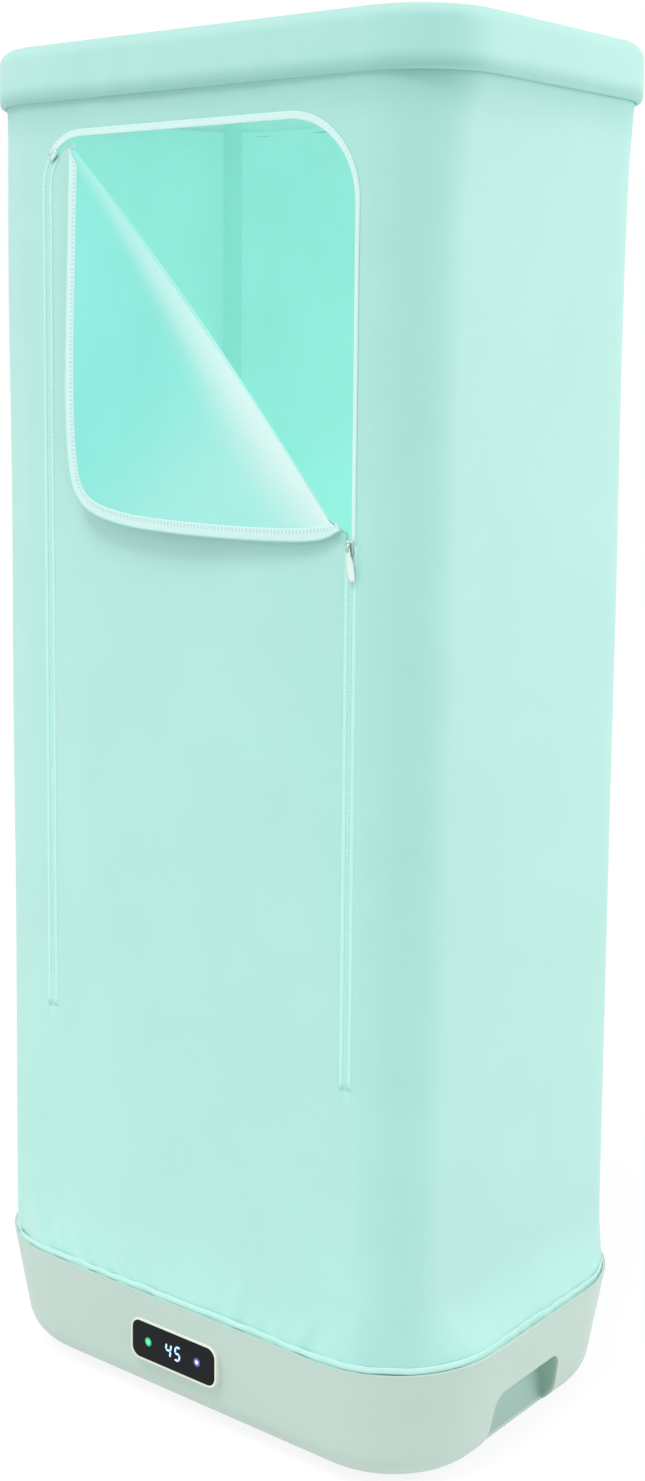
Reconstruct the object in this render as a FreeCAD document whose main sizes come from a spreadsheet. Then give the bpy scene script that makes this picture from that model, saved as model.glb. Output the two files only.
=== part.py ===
"""Portable clothes dryer: a heated base, a plug-together frame and a zipped fabric cover.

The base stands on rubber feet and blows warm air up through a grille in its deck. Four posts carry a cap,
from which a rod for clothes hangers is hung. A fabric cover goes over the cap and tucks in behind the base's
rim. A door in its front panel closes with a zip, and its upper right corner is unzipped and folded over.

Frame: +Z up, origin on the ground under the middle of the base, front towards -Y. Millimetres.
"""
import FreeCAD, Part
import math
import operator
import os
from types import SimpleNamespace

import Sketcher
from FreeCAD import Placement, Rotation, Vector

SIZES = (
    # Base housing: a tub whose walls lean in towards the ground, with a large round at the bottom edge.
    ("floor_gap", 8.0),
    ("base_width", 614.0),
    ("base_depth", 429.0),
    ("base_corner", 126.0),
    ("base_top", 132.0),
    ("base_lean", 22.0),
    ("base_edge", 40.0),
    ("base_wall", 3.0),
    ("overrun", 20.0),
    # Hand grips: a notch in each side, open at the bottom, lined with a cup.
    ("grip_middle", -8.0),
    ("grip_half_top", 58.0),
    ("grip_half_low", 66.0),
    ("grip_drop", 56.0),
    ("grip_corner", 16.0),
    ("grip_depth", 28.0),
    # Deck, its screws and the bosses under it.
    ("deck_drop", 20.0),
    ("deck_thick", 3.0),
    ("deck_gap", 1.4),
    ("deck_lip", 13.0),
    ("deck_lip_wall", 2.5),
    ("boss_inset_x", 102.0),
    ("boss_inset_y", 116.5),
    ("boss_radius", 7.0),
    ("screw_radius", 1.9),
    ("screw_head_radius", 4.2),
    ("screw_head_high", 2.4),
    ("screw_length", 14.0),
    ("screw_fit", 0.1),
    # Outlet grille in the deck.
    ("outlet_margin_x", 157.0),
    ("outlet_margin_y", 119.5),
    ("outlet_corner", 18.0),
    ("outlet_flange", 9.0),
    ("outlet_flange_thick", 2.0),
    ("outlet_body_high", 10.0),
    ("outlet_side", 12.0),
    ("outlet_bar", 4.0),
    ("outlet_end", 10.5),
    ("slip_fit", 0.3),
    # Rubber feet.
    ("foot_radius", 15.0),
    ("foot_inset_x", 117.0),
    ("foot_inset_y", 109.5),
    # Intake in the floor of the base and the dust filter over it.
    ("intake_lip", 5.0),
    ("intake_flange", 8.0),
    ("intake_flange_thick", 2.0),
    ("intake_bar", 5.0),
    ("intake_pitch_share", 0.1368),
    ("intake_long_share", 1.263),
    ("filter_thick", 2.0),
    # Axial fan.
    ("fan_clearance", 28.0),
    ("shroud_wall", 3.0),
    ("shroud_flange", 9.0),
    ("shroud_flange_thick", 3.0),
    ("fan_headroom", 7.0),
    ("spider_wide", 8.0),
    ("spider_thick", 4.0),
    ("spider_plate_radius", 34.0),
    ("motor_radius", 29.0),
    ("motor_clearance", 22.0),
    ("shaft_radius", 4.0),
    ("shaft_fit", 0.05),
    ("shaft_foot", 3.0),
    ("hub_radius", 37.0),
    ("hub_wall", 3.5),
    ("hub_lift", 8.0),
    ("hub_clearance", 16.0),
    ("blade_clearance", 5.0),
    ("blade_root_chord_share", 0.9444),
    ("blade_tip_chord_share", 1.2778),
    ("blade_thick", 2.0),
    ("blade_sink", 1.5),
    ("blade_bury", 3.8),
    # Heater over the fan.
    ("heater_over_fan", 20.0),
    ("heater_under_fan", 20.0),
    ("heater_wall", 4.0),
    ("heater_drop", 40.0),
    ("heater_high", 28.0),
    ("core_high", 22.0),
    ("core_fin", 5.0),
    ("core_web", 10.0),
    ("core_side", 11.5),
    ("core_end", 4.0),
    ("standoff_radius", 5.0),
    ("cutout_radius", 9.0),
    ("cutout_high", 6.0),
    # Control board in the front of the base.
    ("board_set", 74.5),
    ("board_thick", 1.6),
    ("board_wide", 100.0),
    ("board_low", 18.0),
    ("board_headroom", 34.0),
    ("bracket_thick", 2.0),
    ("bracket_wide", 60.0),
    ("bracket_short", 12.0),
    ("bracket_foot", 16.0),
    ("relay_set", 9.0),
    ("relay_wide", 22.0),
    ("relay_high", 18.0),
    ("relay_deep", 16.0),
    ("capacitor_radius", 6.0),
    ("capacitor_long", 18.0),
    # Display on the front wall.
    ("display_x", -4.0),
    ("display_drop", 55.0),
    ("display_set", 5.1),
    ("display_reach", 19.4),
    ("bezel_wide", 112.0),
    ("bezel_high", 41.0),
    ("bezel_corner", 11.0),
    ("bezel_rim", 4.0),
    ("bezel_flange", 3.0),
    ("bezel_flange_thick", 2.0),
    ("lens_recess", 0.8),
    ("lens_thick", 3.0),
    ("display_board_thick", 1.6),
    ("digit_wide", 9.0),
    ("digit_high", 18.0),
    ("digit_stroke", 2.2),
    ("digit_gap", 4.0),
    ("digit_mitre", 0.3),
    ("lamp_x", 34.0),
    ("lamp_radius", 3.2),
    ("lit_thick", 0.3),
    # Power inlet in the back wall.
    ("inlet_corner_set", 31.0),
    ("inlet_drop", 70.0),
    ("inlet_wide", 30.0),
    ("inlet_high", 22.0),
    ("inlet_set", 8.5),
    ("inlet_long", 34.0),
    ("inlet_wall", 3.0),
    ("inlet_deep", 18.0),
    ("inlet_flange", 6.0),
    ("inlet_flange_set", 18.0),
    ("pin_wide", 2.0),
    ("pin_high", 5.0),
    ("pin_long", 13.0),
    ("pin_pitch", 7.0),
    # Frame: posts, ferrules, sockets.
    ("post_inset_x", 69.0),
    ("post_inset_y", 62.5),
    ("post_radius", 11.0),
    ("post_wall", 1.5),
    ("post_fit", 0.1),
    ("post_join_share", 0.52857),
    ("socket_radius", 15.0),
    ("socket_flange_radius", 22.0),
    ("socket_flange_thick", 3.0),
    ("socket_high", 40.0),
    ("ferrule_radius", 13.5),
    ("ferrule_long", 80.0),
    # Cap and hanging rod.
    ("overall_height", 1400.0),
    ("cap_wall", 3.0),
    ("cap_gap", 0.4),
    ("cap_socket_deep", 34.0),
    ("rod_radius", 11.0),
    ("rod_wall", 1.2),
    ("rod_drop", 36.0),
    ("rod_inset", 37.0),
    ("rod_fit", 0.1),
    ("hanger_inset", 45.0),
    ("hanger_plate_thick", 5.0),
    ("hanger_plate_half", 17.0),
    ("hanger_plate_low", 18.0),
    ("hanger_flange", 17.0),
    ("hanger_flange_thick", 3.0),
    ("hanger_hole_spacing", 18.0),
    # Fabric cover.
    ("fabric", 1.0),
    ("brim_inset_x", 6.0),
    ("brim_inset_y", 12.5),
    ("brim_corner", 88.0),
    ("brim_high", 53.4),
    ("brim_edge", 15.0),
    ("sleeve_inset_x", 27.0),
    ("sleeve_inset_y", 15.5),
    ("sleeve_corner", 64.0),
    ("neck_high", 25.0),
    ("hem_high", 36.0),
    ("hem_tuck", 14.0),
    ("hem_gap", 0.5),
    # Zipped door in the front panel.
    ("zip_left_set", 31.0),
    ("zip_right_set", 12.0),
    ("zip_drop", 95.0),
    ("zip_low", 405.0),
    ("zip_left_round", 46.0),
    ("zip_right_round", 77.0),
    ("chain_half", 2.5),
    ("chain_play", 0.3),
    ("chain_proud", 0.6),
    ("tape_wide", 4.5),
    ("tape_proud", 0.3),
    ("fold_out_left", 5.0),
    ("fold_out_top", 25.0),
    ("fold_out_right", 11.0),
    ("fold_share", 1.02222),
    ("fold_gap", 0.6),
    ("flap_trim_left", 35.0),
    ("flap_trim_low", 30.0),
    ("flap_rise", 2.4),
    # Zip sliders and the pull.
    ("slider_over", 3.0),
    ("slider_wide", 10.0),
    ("slider_high", 16.0),
    ("slider_thick", 2.0),
    ("slider_play", 0.3),
    ("lug_thick", 1.5),
    ("lug_inset", 1.5),
    ("lug_high", 4.0),
    ("lug_deep", 3.3),
    ("pin_radius", 0.9),
    ("pin_fit", 0.05),
    ("pin_stand", 2.3),
    ("eye_play", 0.3),
    ("eye_radius", 1.9),
    ("pull_thick", 1.8),
    ("pull_long", 25.0),
    ("pull_wide", 7.6),
    ("pull_neck", 5.0),
    ("left_slider_high", 12.0),
)

# Counts and angles, which have no length.
OUTLET_SLOTS = 13
INTAKE_SLOTS = 11
CORE_COLUMNS = 19
CORE_ROWS = 4
BLADES = 7
BLADE_ROOT_PITCH = 40.0
BLADE_TIP_PITCH = 22.0
LEFT_SLIDER_TURN = 40.0
DISPLAY_TIME = "45"
DIGIT_SEGMENTS = {"4": "bcfg", "5": "acdfg"}

doc = FreeCAD.newDocument("clothes_dryer")
sheet = doc.addObject("Spreadsheet::Sheet", "sizes")


class Length:
    """A length that is both a number and the sheet expression that gives it.

    Sketches are first drawn with the number and then held by the expression, so both come from one sum.
    """

    def __init__(self, value, text):
        self.value = value
        self.text = text

    def joined(self, other, sign, work):
        """Return the sum, difference, product or quotient with another length or a plain factor."""
        factor = other if isinstance(other, Length) else Length(other, repr(other))
        return Length(work(self.value, factor.value), f"({self.text} {sign} {factor.text})")

    def __add__(self, other):
        return self.joined(other, "+", operator.add)

    def __sub__(self, other):
        return self.joined(other, "-", operator.sub)

    def __mul__(self, factor):
        return self.joined(factor, "*", operator.mul)

    def __rmul__(self, factor):
        return self * factor

    def __truediv__(self, factor):
        return self.joined(factor, "/", operator.truediv)

    def __neg__(self):
        return Length(-self.value, f"(-{self.text})")


for row, (alias, number) in enumerate(SIZES, start=1):
    sheet.set(f"A{row}", alias)
    sheet.set(f"B{row}", str(number))
    sheet.setAlias(f"B{row}", alias)
doc.recompute()
mm = SimpleNamespace(**{alias: Length(number, f"sizes.{alias}") for alias, number in SIZES})
ZERO = mm.overrun - mm.overrun

nodes = {}


def node(label, item):
    """Keep an object as one named piece of the dryer."""
    item.Label = label
    nodes[label] = item
    return item


def bind(item, **lengths):
    """Tie properties of an object to the sheet."""
    for name, length in lengths.items():
        item.setExpression(name, length.text)


def place(item, x=ZERO, y=ZERO, z=ZERO):
    """Tie an object's place to the sheet."""
    for axis, length in zip("xyz", (x, y, z)):
        item.setExpression(f".Placement.Base.{axis}", length.text)
    return item


def box(name, x, y, z):
    """Make a box from its two limits along each axis."""
    item = doc.addObject("Part::Box", name)
    bind(item, Length=x[1] - x[0], Width=y[1] - y[0], Height=z[1] - z[0])
    return place(item, x[0], y[0], z[0])


def centred_box(name, x, y, wide, deep, z):
    """Make a box about an upright line at x, y."""
    return box(name, (x - wide / 2, x + wide / 2), (y - deep / 2, y + deep / 2), z)


def cylinder(name, radius, z, x=ZERO, y=ZERO):
    """Make an upright cylinder from its radius and its two heights."""
    item = doc.addObject("Part::Cylinder", name)
    bind(item, Radius=radius, Height=z[1] - z[0])
    return place(item, x, y, z[0])


def lying_cylinder(name, radius, x, y, z):
    """Make a cylinder along X from its radius and its two limits."""
    item = doc.addObject("Part::Cylinder", name)
    item.Placement = Placement(Vector(), Rotation(Vector(0, 1, 0), 90))
    bind(item, Radius=radius, Height=x[1] - x[0])
    return place(item, x[0], y, z)


def cut(name, base, *tools):
    """Take every tool away from a base."""
    item = doc.addObject("Part::Cut", name)
    item.Base = base
    item.Tool = tools[0] if len(tools) == 1 else fuse(f"{name}_tools", *tools)
    return item


def fuse(name, *pieces):
    """Join pieces that overlap."""
    item = doc.addObject("Part::MultiFuse", name)
    item.Shapes = list(pieces)
    return item


def common(name, first, second):
    """Keep what two shapes share."""
    item = doc.addObject("Part::Common", name)
    item.Base = first
    item.Tool = second
    return item


def group(name, pieces):
    """Put identical separate pieces under one name."""
    item = doc.addObject("Part::Compound", name)
    item.Links = list(pieces)
    return item


def mirrored(name, source):
    """Copy a piece to the other side of the dryer's middle plane."""
    item = doc.addObject("Part::Mirroring", name)
    item.Source = source
    item.Normal = Vector(1, 0, 0)
    return item


def tube(name, outer, inner, z, x=ZERO, y=ZERO):
    """Make an upright tube."""
    return cut(name, cylinder(f"{name}_out", outer, z, x, y),
               cylinder(f"{name}_in", inner, (z[0] - mm.overrun, z[1] + mm.overrun), x, y))


def four(make, x, y):
    """Call make(index, x, y) at the four corners plus or minus x, plus or minus y."""
    corners = ((-x, -y), (x, -y), (x, y), (-x, y))
    return [make(index, *corner) for index, corner in enumerate(corners)]


def sketch_in(body, name, plane, offset):
    """Open a sketch on one of a body's origin planes, moved along the plane's normal."""
    support = next(item for item in body.Origin.OriginFeatures if item.Role == plane)
    sketch = body.newObject("Sketcher::SketchObject", name)
    sketch.AttachmentSupport = (support, [""])
    sketch.MapMode = "FlatFace"
    sketch.setExpression("AttachmentOffset.Base.z", offset.text)
    return sketch


def hold(sketch, name, kind, *where_and_length):
    """Add a named dimension to a sketch and tie it to the sheet."""
    *where, length = where_and_length
    index = sketch.addConstraint(Sketcher.Constraint(kind, *where, length.value))
    sketch.renameConstraint(index, name)
    sketch.setExpression(f"Constraints.{name}", length.text)


def draw_outline(sketch, corners, rounds):
    """Draw a closed outline through corners, with an arc at each corner that has a radius.

    Every corner is a pair of lengths held from the sketch's origin, and the arcs are tangent to the sides.
    """
    count = len(corners)
    points = [Vector(x.value, y.value, 0) for x, y in corners]
    starts, ends, arcs = [], [], {}
    for index, point in enumerate(points):
        before = (points[index - 1] - point).normalize()
        after = (points[(index + 1) % count] - point).normalize()
        if rounds[index] is None:
            ends.append(point)
            starts.append(point)
            continue
        half_angle = before.getAngle(after) / 2
        radius = rounds[index].value
        reach = radius / math.tan(half_angle)
        first, last = point + before * reach, point + after * reach
        middle = point + (before + after).normalize() * (radius / math.sin(half_angle))
        arcs[index] = Part.Arc(first, middle + (point - middle).normalize() * radius, last)
        ends.append(first)
        starts.append(last)
    for index in range(count):
        sketch.addGeometry(Part.LineSegment(starts[index], ends[(index + 1) % count]), False)
    for index in range(count):
        side, following = index, (index + 1) % count
        if following in arcs:
            continue
        sketch.addConstraint(Sketcher.Constraint("Coincident", side, 2, following, 1))
    for order, (index, arc) in enumerate(arcs.items()):
        number = sketch.addGeometry(arc, False)
        away = sketch.Geometry[number].StartPoint.distanceToPoint(ends[index])
        near, far = (1, 2) if away < Part.Precision.confusion() else (2, 1)
        sketch.addConstraint(Sketcher.Constraint("Tangent", (index - 1) % count, 2, number, near))
        sketch.addConstraint(Sketcher.Constraint("Tangent", number, far, index, 1))
        hold(sketch, f"round_{order}", "Radius", number, rounds[index])
    for index, (x, y) in enumerate(corners):
        if rounds[index] is not None:
            corner = sketch.addGeometry(Part.Point(points[index]), True)
            sketch.addConstraint(Sketcher.Constraint("PointOnObject", corner, 1, index))
            sketch.addConstraint(Sketcher.Constraint("PointOnObject", corner, 1, (index - 1) % count))
        else:
            corner = index
        hold(sketch, f"across_{index}", "DistanceX", -1, 1, corner, 1, x)
        hold(sketch, f"along_{index}", "DistanceY", -1, 1, corner, 1, y)


def rectangle(wide, deep, x=ZERO, y=ZERO):
    """Return the corners of a rectangle about x, y, against the clock."""
    return [(x - wide / 2, y - deep / 2), (x + wide / 2, y - deep / 2),
            (x + wide / 2, y + deep / 2), (x - wide / 2, y + deep / 2)]


def pad(name, plane, offset, corners, rounds, thick, reverse=False):
    """Make a body by padding one outline."""
    body = doc.addObject("PartDesign::Body", name)
    sketch = sketch_in(body, f"{name}_outline", plane, offset)
    draw_outline(sketch, corners, rounds)
    feature = body.newObject("PartDesign::Pad", f"{name}_pad")
    feature.Profile = sketch
    feature.Reversed = reverse
    bind(feature, Length=thick)
    doc.recompute()
    return body


def rounded_block(name, wide, deep, corner, z, x=ZERO, y=ZERO):
    """Make an upright block with four round corners."""
    return pad(name, "XY_Plane", z[0], rectangle(wide, deep, x, y), [corner] * 4, z[1] - z[0])


def facing_block(name, x, z, wide, high, corner, front, thick):
    """Make a block with round corners that faces the front, from its front face inwards."""
    return pad(name, "XZ_Plane", front, rectangle(wide, high, x, z), [corner] * 4, thick, reverse=True)


def edge_round(body, name, height, radius):
    """Round the edges of a body's last feature that lie at one height."""
    base = body.Tip
    edges = [f"Edge{number}" for number, edge in enumerate(base.Shape.Edges, start=1)
             if all(abs(vertex.Z - height.value) < Part.Precision.confusion() for vertex in edge.Vertexes)]
    feature = body.newObject("PartDesign::Fillet", name)
    feature.Base = (base, edges)
    bind(feature, Radius=radius)
    doc.recompute()
    return body


def rounded_loft(name, sections):
    """Make a body through rounded rectangles (wide, deep, corner, height), one above another."""
    body = doc.addObject("PartDesign::Body", name)
    sketches = []
    for index, (wide, deep, corner, height) in enumerate(sections):
        sketch = sketch_in(body, f"{name}_section_{index}", "XY_Plane", height)
        draw_outline(sketch, rectangle(wide, deep), [corner] * 4)
        sketches.append(sketch)
    doc.recompute()
    loft = body.newObject("PartDesign::AdditiveLoft", f"{name}_loft")
    loft.Profile = sketches[0]
    loft.Sections = sketches[1:]
    loft.Ruled = True
    doc.recompute()
    return body


def slotted(body, name, outline, count, pitch, axis, second=None):
    """Pocket a row of slots through an upright body, or rows of them where second is given."""
    base_volume = body.Shape.Volume
    sketch = sketch_in(body, f"{name}_outline", "XY_Plane", ZERO)
    draw_outline(sketch, outline, [None] * 4)
    pocket = body.newObject("PartDesign::Pocket", f"{name}_pocket")
    pocket.Profile = sketch
    pocket.Type = "ThroughAll"
    pocket.Midplane = True
    doc.recompute()
    last = pocket
    for order, (copies, step, along) in enumerate([(count, pitch, axis)] + ([second] if second else [])):
        pattern = body.newObject("PartDesign::LinearPattern", f"{name}_row_{order}")
        pattern.Originals = [last] if order == 0 else [pocket]
        direction = next(item for item in body.Origin.OriginFeatures if item.Role == along)
        pattern.Direction = (direction, [""])
        bind(pattern, Length=step * (copies - 1))
        pattern.Occurrences = copies
        body.Tip = pattern
        doc.recompute()
        last = pattern
    if body.Shape.Volume >= base_volume:
        raise ValueError(f"{name} cut nothing")
    return body


# Heights in the base that several pieces share.
base_floor = mm.floor_gap + mm.base_wall
filter_top = base_floor + mm.filter_thick
mm.deck_seat = mm.base_top - mm.deck_drop
mm.grip_top = mm.base_top - mm.grip_drop
mm.display_z = mm.base_top - mm.display_drop
mm.inlet_z = mm.base_top - mm.inlet_drop
mm.heater_floor = mm.deck_seat - mm.heater_drop
mm.board_high = mm.deck_seat - mm.board_low - mm.board_headroom
mm.bracket_high = mm.board_high - mm.bracket_short
deck_top = mm.deck_seat + mm.deck_thick

# Places on the plan of the base, which follow its outline.
half_width = mm.base_width / 2
half_depth = mm.base_depth / 2
mm.boss_x = half_width - mm.boss_inset_x
mm.boss_y = half_depth - mm.boss_inset_y
mm.foot_x = half_width - mm.foot_inset_x
mm.foot_y = half_depth - mm.foot_inset_y
mm.post_x = half_width - mm.post_inset_x
mm.post_y = half_depth - mm.post_inset_y
mm.board_face = half_depth - mm.board_set
mm.display_front = half_depth - mm.display_set
mm.display_back = mm.display_front - mm.display_reach
mm.inlet_x = half_width - mm.base_corner - mm.inlet_corner_set
mm.inlet_face = half_depth - mm.inlet_set
mm.rod_half = half_width - mm.rod_inset
mm.hanger_plate_x = half_width - mm.hanger_inset
mm.hanger_screw_y = mm.hanger_hole_spacing / 2

# The outlet grille fills the deck between its margins, and its bars share the opening out.
mm.outlet_wide = mm.base_width - 2 * mm.outlet_margin_x
mm.outlet_deep = mm.base_depth - 2 * mm.outlet_margin_y
mm.outlet_slot_long = mm.outlet_wide - 2 * mm.outlet_side
mm.outlet_slot_pitch = (mm.outlet_deep - 2 * mm.outlet_end) / OUTLET_SLOTS
mm.outlet_slot_wide = mm.outlet_slot_pitch - mm.outlet_bar

# The fan fills the room behind the control board and under the heater.
mm.shroud_radius = mm.board_face - mm.fan_clearance - mm.shroud_flange - mm.shroud_wall
mm.shroud_high = mm.heater_floor - filter_top - mm.fan_headroom
mm.motor_high = mm.shroud_high - mm.motor_clearance
mm.hub_high = mm.shroud_high - mm.hub_clearance
mm.blade_tip_radius = mm.shroud_radius - mm.blade_clearance
mm.blade_root_chord = mm.hub_high * mm.blade_root_chord_share
mm.blade_tip_chord = mm.hub_high * mm.blade_tip_chord_share
mm.intake_radius = mm.shroud_radius - mm.intake_lip
mm.intake_slot_pitch = mm.intake_radius * mm.intake_pitch_share
mm.intake_slot_wide = mm.intake_slot_pitch - mm.intake_bar
mm.intake_slot_long = mm.intake_radius * mm.intake_long_share

# The heater spans the fan, and the slots of its core share its frame out.
mm.heater_wide = 2 * (mm.shroud_radius + mm.heater_over_fan)
mm.heater_deep = 2 * (mm.shroud_radius - mm.heater_under_fan)
core_wide = mm.heater_wide - 2 * mm.heater_wall
core_deep = mm.heater_deep - 2 * mm.heater_wall
mm.core_slot_pitch_x = (core_wide - 2 * mm.core_side) / CORE_COLUMNS
mm.core_slot_pitch_y = (core_deep - 2 * mm.core_end) / CORE_ROWS
mm.core_slot_wide = mm.core_slot_pitch_x - mm.core_fin
mm.core_slot_long = mm.core_slot_pitch_y - mm.core_web

# The cover is cut to the base below and to the overall height.
mm.post_join = mm.overall_height * mm.post_join_share
mm.brim_width = mm.base_width - 2 * mm.brim_inset_x
mm.brim_depth = mm.base_depth - 2 * mm.brim_inset_y
mm.sleeve_width = mm.base_width - 2 * mm.sleeve_inset_x
mm.sleeve_depth = mm.base_depth - 2 * mm.sleeve_inset_y
seam = mm.sleeve_width / 2 - mm.sleeve_corner
mm.zip_left = mm.zip_left_set - seam
mm.zip_right = seam - mm.zip_right_set
mm.zip_top = mm.overall_height - mm.zip_drop
mm.fold_left_x = mm.zip_left - mm.fold_out_left
mm.fold_left_z = mm.zip_top + mm.fold_out_top
mm.fold_right_x = mm.zip_right + mm.fold_out_right
mm.fold_right_z = mm.fold_left_z - mm.fold_share * (mm.fold_right_x - mm.fold_left_x)
mm.flap_left = mm.zip_left + mm.flap_trim_left
mm.flap_low = mm.fold_right_z + mm.flap_trim_low
mm.slider_z = mm.fold_right_z + mm.slider_over
brim_low = mm.overall_height - mm.brim_high
neck_low = brim_low - mm.neck_high
hem_top = mm.base_top + mm.hem_high
hem_low = mm.base_top - mm.hem_tuck
cap_top = mm.overall_height - mm.fabric - mm.cap_gap
cap_ceiling = cap_top - mm.cap_wall


def tub(name, inset, floor, edge):
    """Make the solid inside one skin of the base: its sides lean in below the rim and it is round underneath."""
    body = rounded_block(name, mm.base_width - 2 * inset, mm.base_depth - 2 * inset, mm.base_corner - inset,
                         (floor, mm.base_top))
    base = body.Tip
    rises = {number: round(face.normalAt(0, 0).z) for number, face in enumerate(base.Shape.Faces, start=1)}
    lean = body.newObject("PartDesign::Draft", f"{name}_lean")
    lean.Base = (base, [f"Face{number}" for number, rise in rises.items() if rise == 0])
    lean.NeutralPlane = (base, [f"Face{number}" for number, rise in rises.items() if rise == 1])
    lean.Reversed = True
    lean.setExpression("Angle", f"atan({mm.base_lean.text} / {(mm.base_top - mm.floor_gap).text})")
    doc.recompute()
    if lean.Shape.Volume >= base.Shape.Volume:
        raise ValueError(f"{name} leans out")
    return edge_round(body, f"{name}_edge", floor, edge)


def lean_below_rim(drop):
    """Return how far the base's walls have leaned in at a drop below the rim."""
    return mm.base_lean * (drop / (mm.base_top - mm.floor_gap))


def grip_block(name, grow, depth):
    """Make the block of the right hand grip, with its sides moved out by grow."""
    low = mm.floor_gap - mm.overrun
    corners = [(mm.grip_middle - mm.grip_half_low - grow, low), (mm.grip_middle + mm.grip_half_low + grow, low),
               (mm.grip_middle + mm.grip_half_top + grow, mm.grip_top + grow),
               (mm.grip_middle - mm.grip_half_top - grow, mm.grip_top + grow)]
    start = mm.base_width / 2 - mm.base_wall * 2 - depth
    return pad(name, "YZ_Plane", start, corners, [None, None, mm.grip_corner + grow, mm.grip_corner + grow],
               depth + mm.base_wall * 2 + mm.overrun)


def display_block(name, shrink, front, thick):
    """Make a block of the display's outline, made smaller by shrink, with its front at a given distance."""
    return facing_block(name, mm.display_x, mm.display_z, mm.bezel_wide - 2 * shrink,
                        mm.bezel_high - 2 * shrink, mm.bezel_corner - shrink, front, thick)


def inlet_block(name, grow, y):
    """Make a block of the inlet's outline, made larger by grow, between two distances from the middle."""
    return box(name, (mm.inlet_x - mm.inlet_wide / 2 - grow, mm.inlet_x + mm.inlet_wide / 2 + grow), y,
               (mm.inlet_z - mm.inlet_high / 2 - grow, mm.inlet_z + mm.inlet_high / 2 + grow))


def build_housing():
    """Build the tub of the base, its deck bosses, the cups in its hand grips and its feet."""
    outer = tub("housing_outer", ZERO, mm.floor_gap, mm.base_edge)
    inner = tub("housing_inner", mm.base_wall, base_floor, mm.base_edge - mm.base_wall)
    right_grip = grip_block("grip_right_notch", ZERO, mm.grip_depth)
    left_grip = mirrored("grip_left_notch", right_grip)
    window = display_block("display_window", -mm.slip_fit, mm.base_depth / 2 + mm.overrun,
                           mm.base_depth / 2 + mm.overrun - mm.display_back)
    inlet_hole = inlet_block("inlet_hole", mm.slip_fit, (mm.inlet_face - mm.inlet_long, mm.base_depth / 2))
    intake_hole = cylinder("intake_hole", mm.intake_radius,
                           (mm.floor_gap - mm.overrun, base_floor + mm.overrun))
    shell = cut("housing_shell", outer, inner)
    bosses = four(lambda index, x, y: tube(f"deck_boss_{index}", mm.boss_radius, mm.screw_radius + mm.screw_fit,
                                           (base_floor, mm.deck_seat), x, y), mm.boss_x, mm.boss_y)
    walls = cut("housing_walls", shell, right_grip, left_grip, window, inlet_hole, intake_hole)
    node("base_housing", fuse("base_housing", walls, *bosses))

    lining = cut("grip_lining", grip_block("grip_lining_block", mm.base_wall, mm.grip_depth + mm.base_wall),
                 grip_block("grip_lining_notch", ZERO, mm.grip_depth))
    right_cup = node("grip_cup_right", common("grip_cup_right", lining, inner))
    node("grip_cup_left", mirrored("grip_cup_left", right_cup))
    node("rubber_feet", group("rubber_feet", four(
        lambda index, x, y: cylinder(f"foot_{index}", mm.foot_radius, (ZERO, mm.floor_gap), x, y),
        mm.foot_x, mm.foot_y)))


def build_deck():
    """Build the deck with its raised lip, its screws and the slotted outlet grille."""
    inset = mm.base_wall + lean_below_rim(mm.base_top - mm.deck_seat) + mm.deck_gap
    wide, deep, corner = mm.base_width - 2 * inset, mm.base_depth - 2 * inset, mm.base_corner - inset
    plate = rounded_block("deck_plate", wide, deep, corner, (mm.deck_seat, deck_top))
    lip_out = rounded_block("deck_lip_out", wide, deep, corner, (deck_top, deck_top + mm.deck_lip))
    lip_in = rounded_block("deck_lip_in", wide - 2 * mm.deck_lip_wall, deep - 2 * mm.deck_lip_wall,
                           corner - mm.deck_lip_wall, (deck_top, deck_top + mm.deck_lip + mm.overrun))
    outlet = rounded_block("deck_outlet", mm.outlet_wide, mm.outlet_deep, mm.outlet_corner,
                           (mm.deck_seat - mm.overrun, deck_top + mm.overrun))
    holes = four(lambda index, x, y: cylinder(f"deck_hole_{index}", mm.screw_radius + mm.screw_fit,
                                              (mm.deck_seat - mm.overrun, deck_top + mm.overrun), x, y),
                 mm.boss_x, mm.boss_y)
    whole = fuse("deck_whole", plate, cut("deck_lip_ring", lip_out, lip_in))
    node("base_deck", cut("base_deck", whole, outlet, *holes))

    def deck_screw(index, x, y):
        head = cylinder(f"deck_screw_head_{index}", mm.screw_head_radius,
                        (deck_top, deck_top + mm.screw_head_high), x, y)
        shank = cylinder(f"deck_screw_shank_{index}", mm.screw_radius,
                         (deck_top - mm.screw_length, deck_top), x, y)
        return fuse(f"deck_screw_{index}", head, shank)

    node("deck_screws", group("deck_screws", four(deck_screw, mm.boss_x, mm.boss_y)))

    body = rounded_block("outlet_body", mm.outlet_wide - 2 * mm.slip_fit, mm.outlet_deep - 2 * mm.slip_fit,
                         mm.outlet_corner - mm.slip_fit, (deck_top - mm.outlet_body_high, deck_top))
    first = -mm.outlet_slot_pitch * ((OUTLET_SLOTS - 1) / 2)
    slots = [centred_box(f"outlet_slot_{index}", ZERO, first + mm.outlet_slot_pitch * index,
                         mm.outlet_slot_long, mm.outlet_slot_wide,
                         (deck_top - mm.outlet_body_high - mm.overrun, deck_top + mm.overrun))
             for index in range(OUTLET_SLOTS)]
    flange = rounded_block("outlet_flange", mm.outlet_wide + 2 * mm.outlet_flange,
                           mm.outlet_deep + 2 * mm.outlet_flange, mm.outlet_corner + mm.outlet_flange,
                           (deck_top, deck_top + mm.outlet_flange_thick))
    node("outlet_grille", cut("outlet_grille", fuse("outlet_blank", body, flange), *slots))


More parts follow.
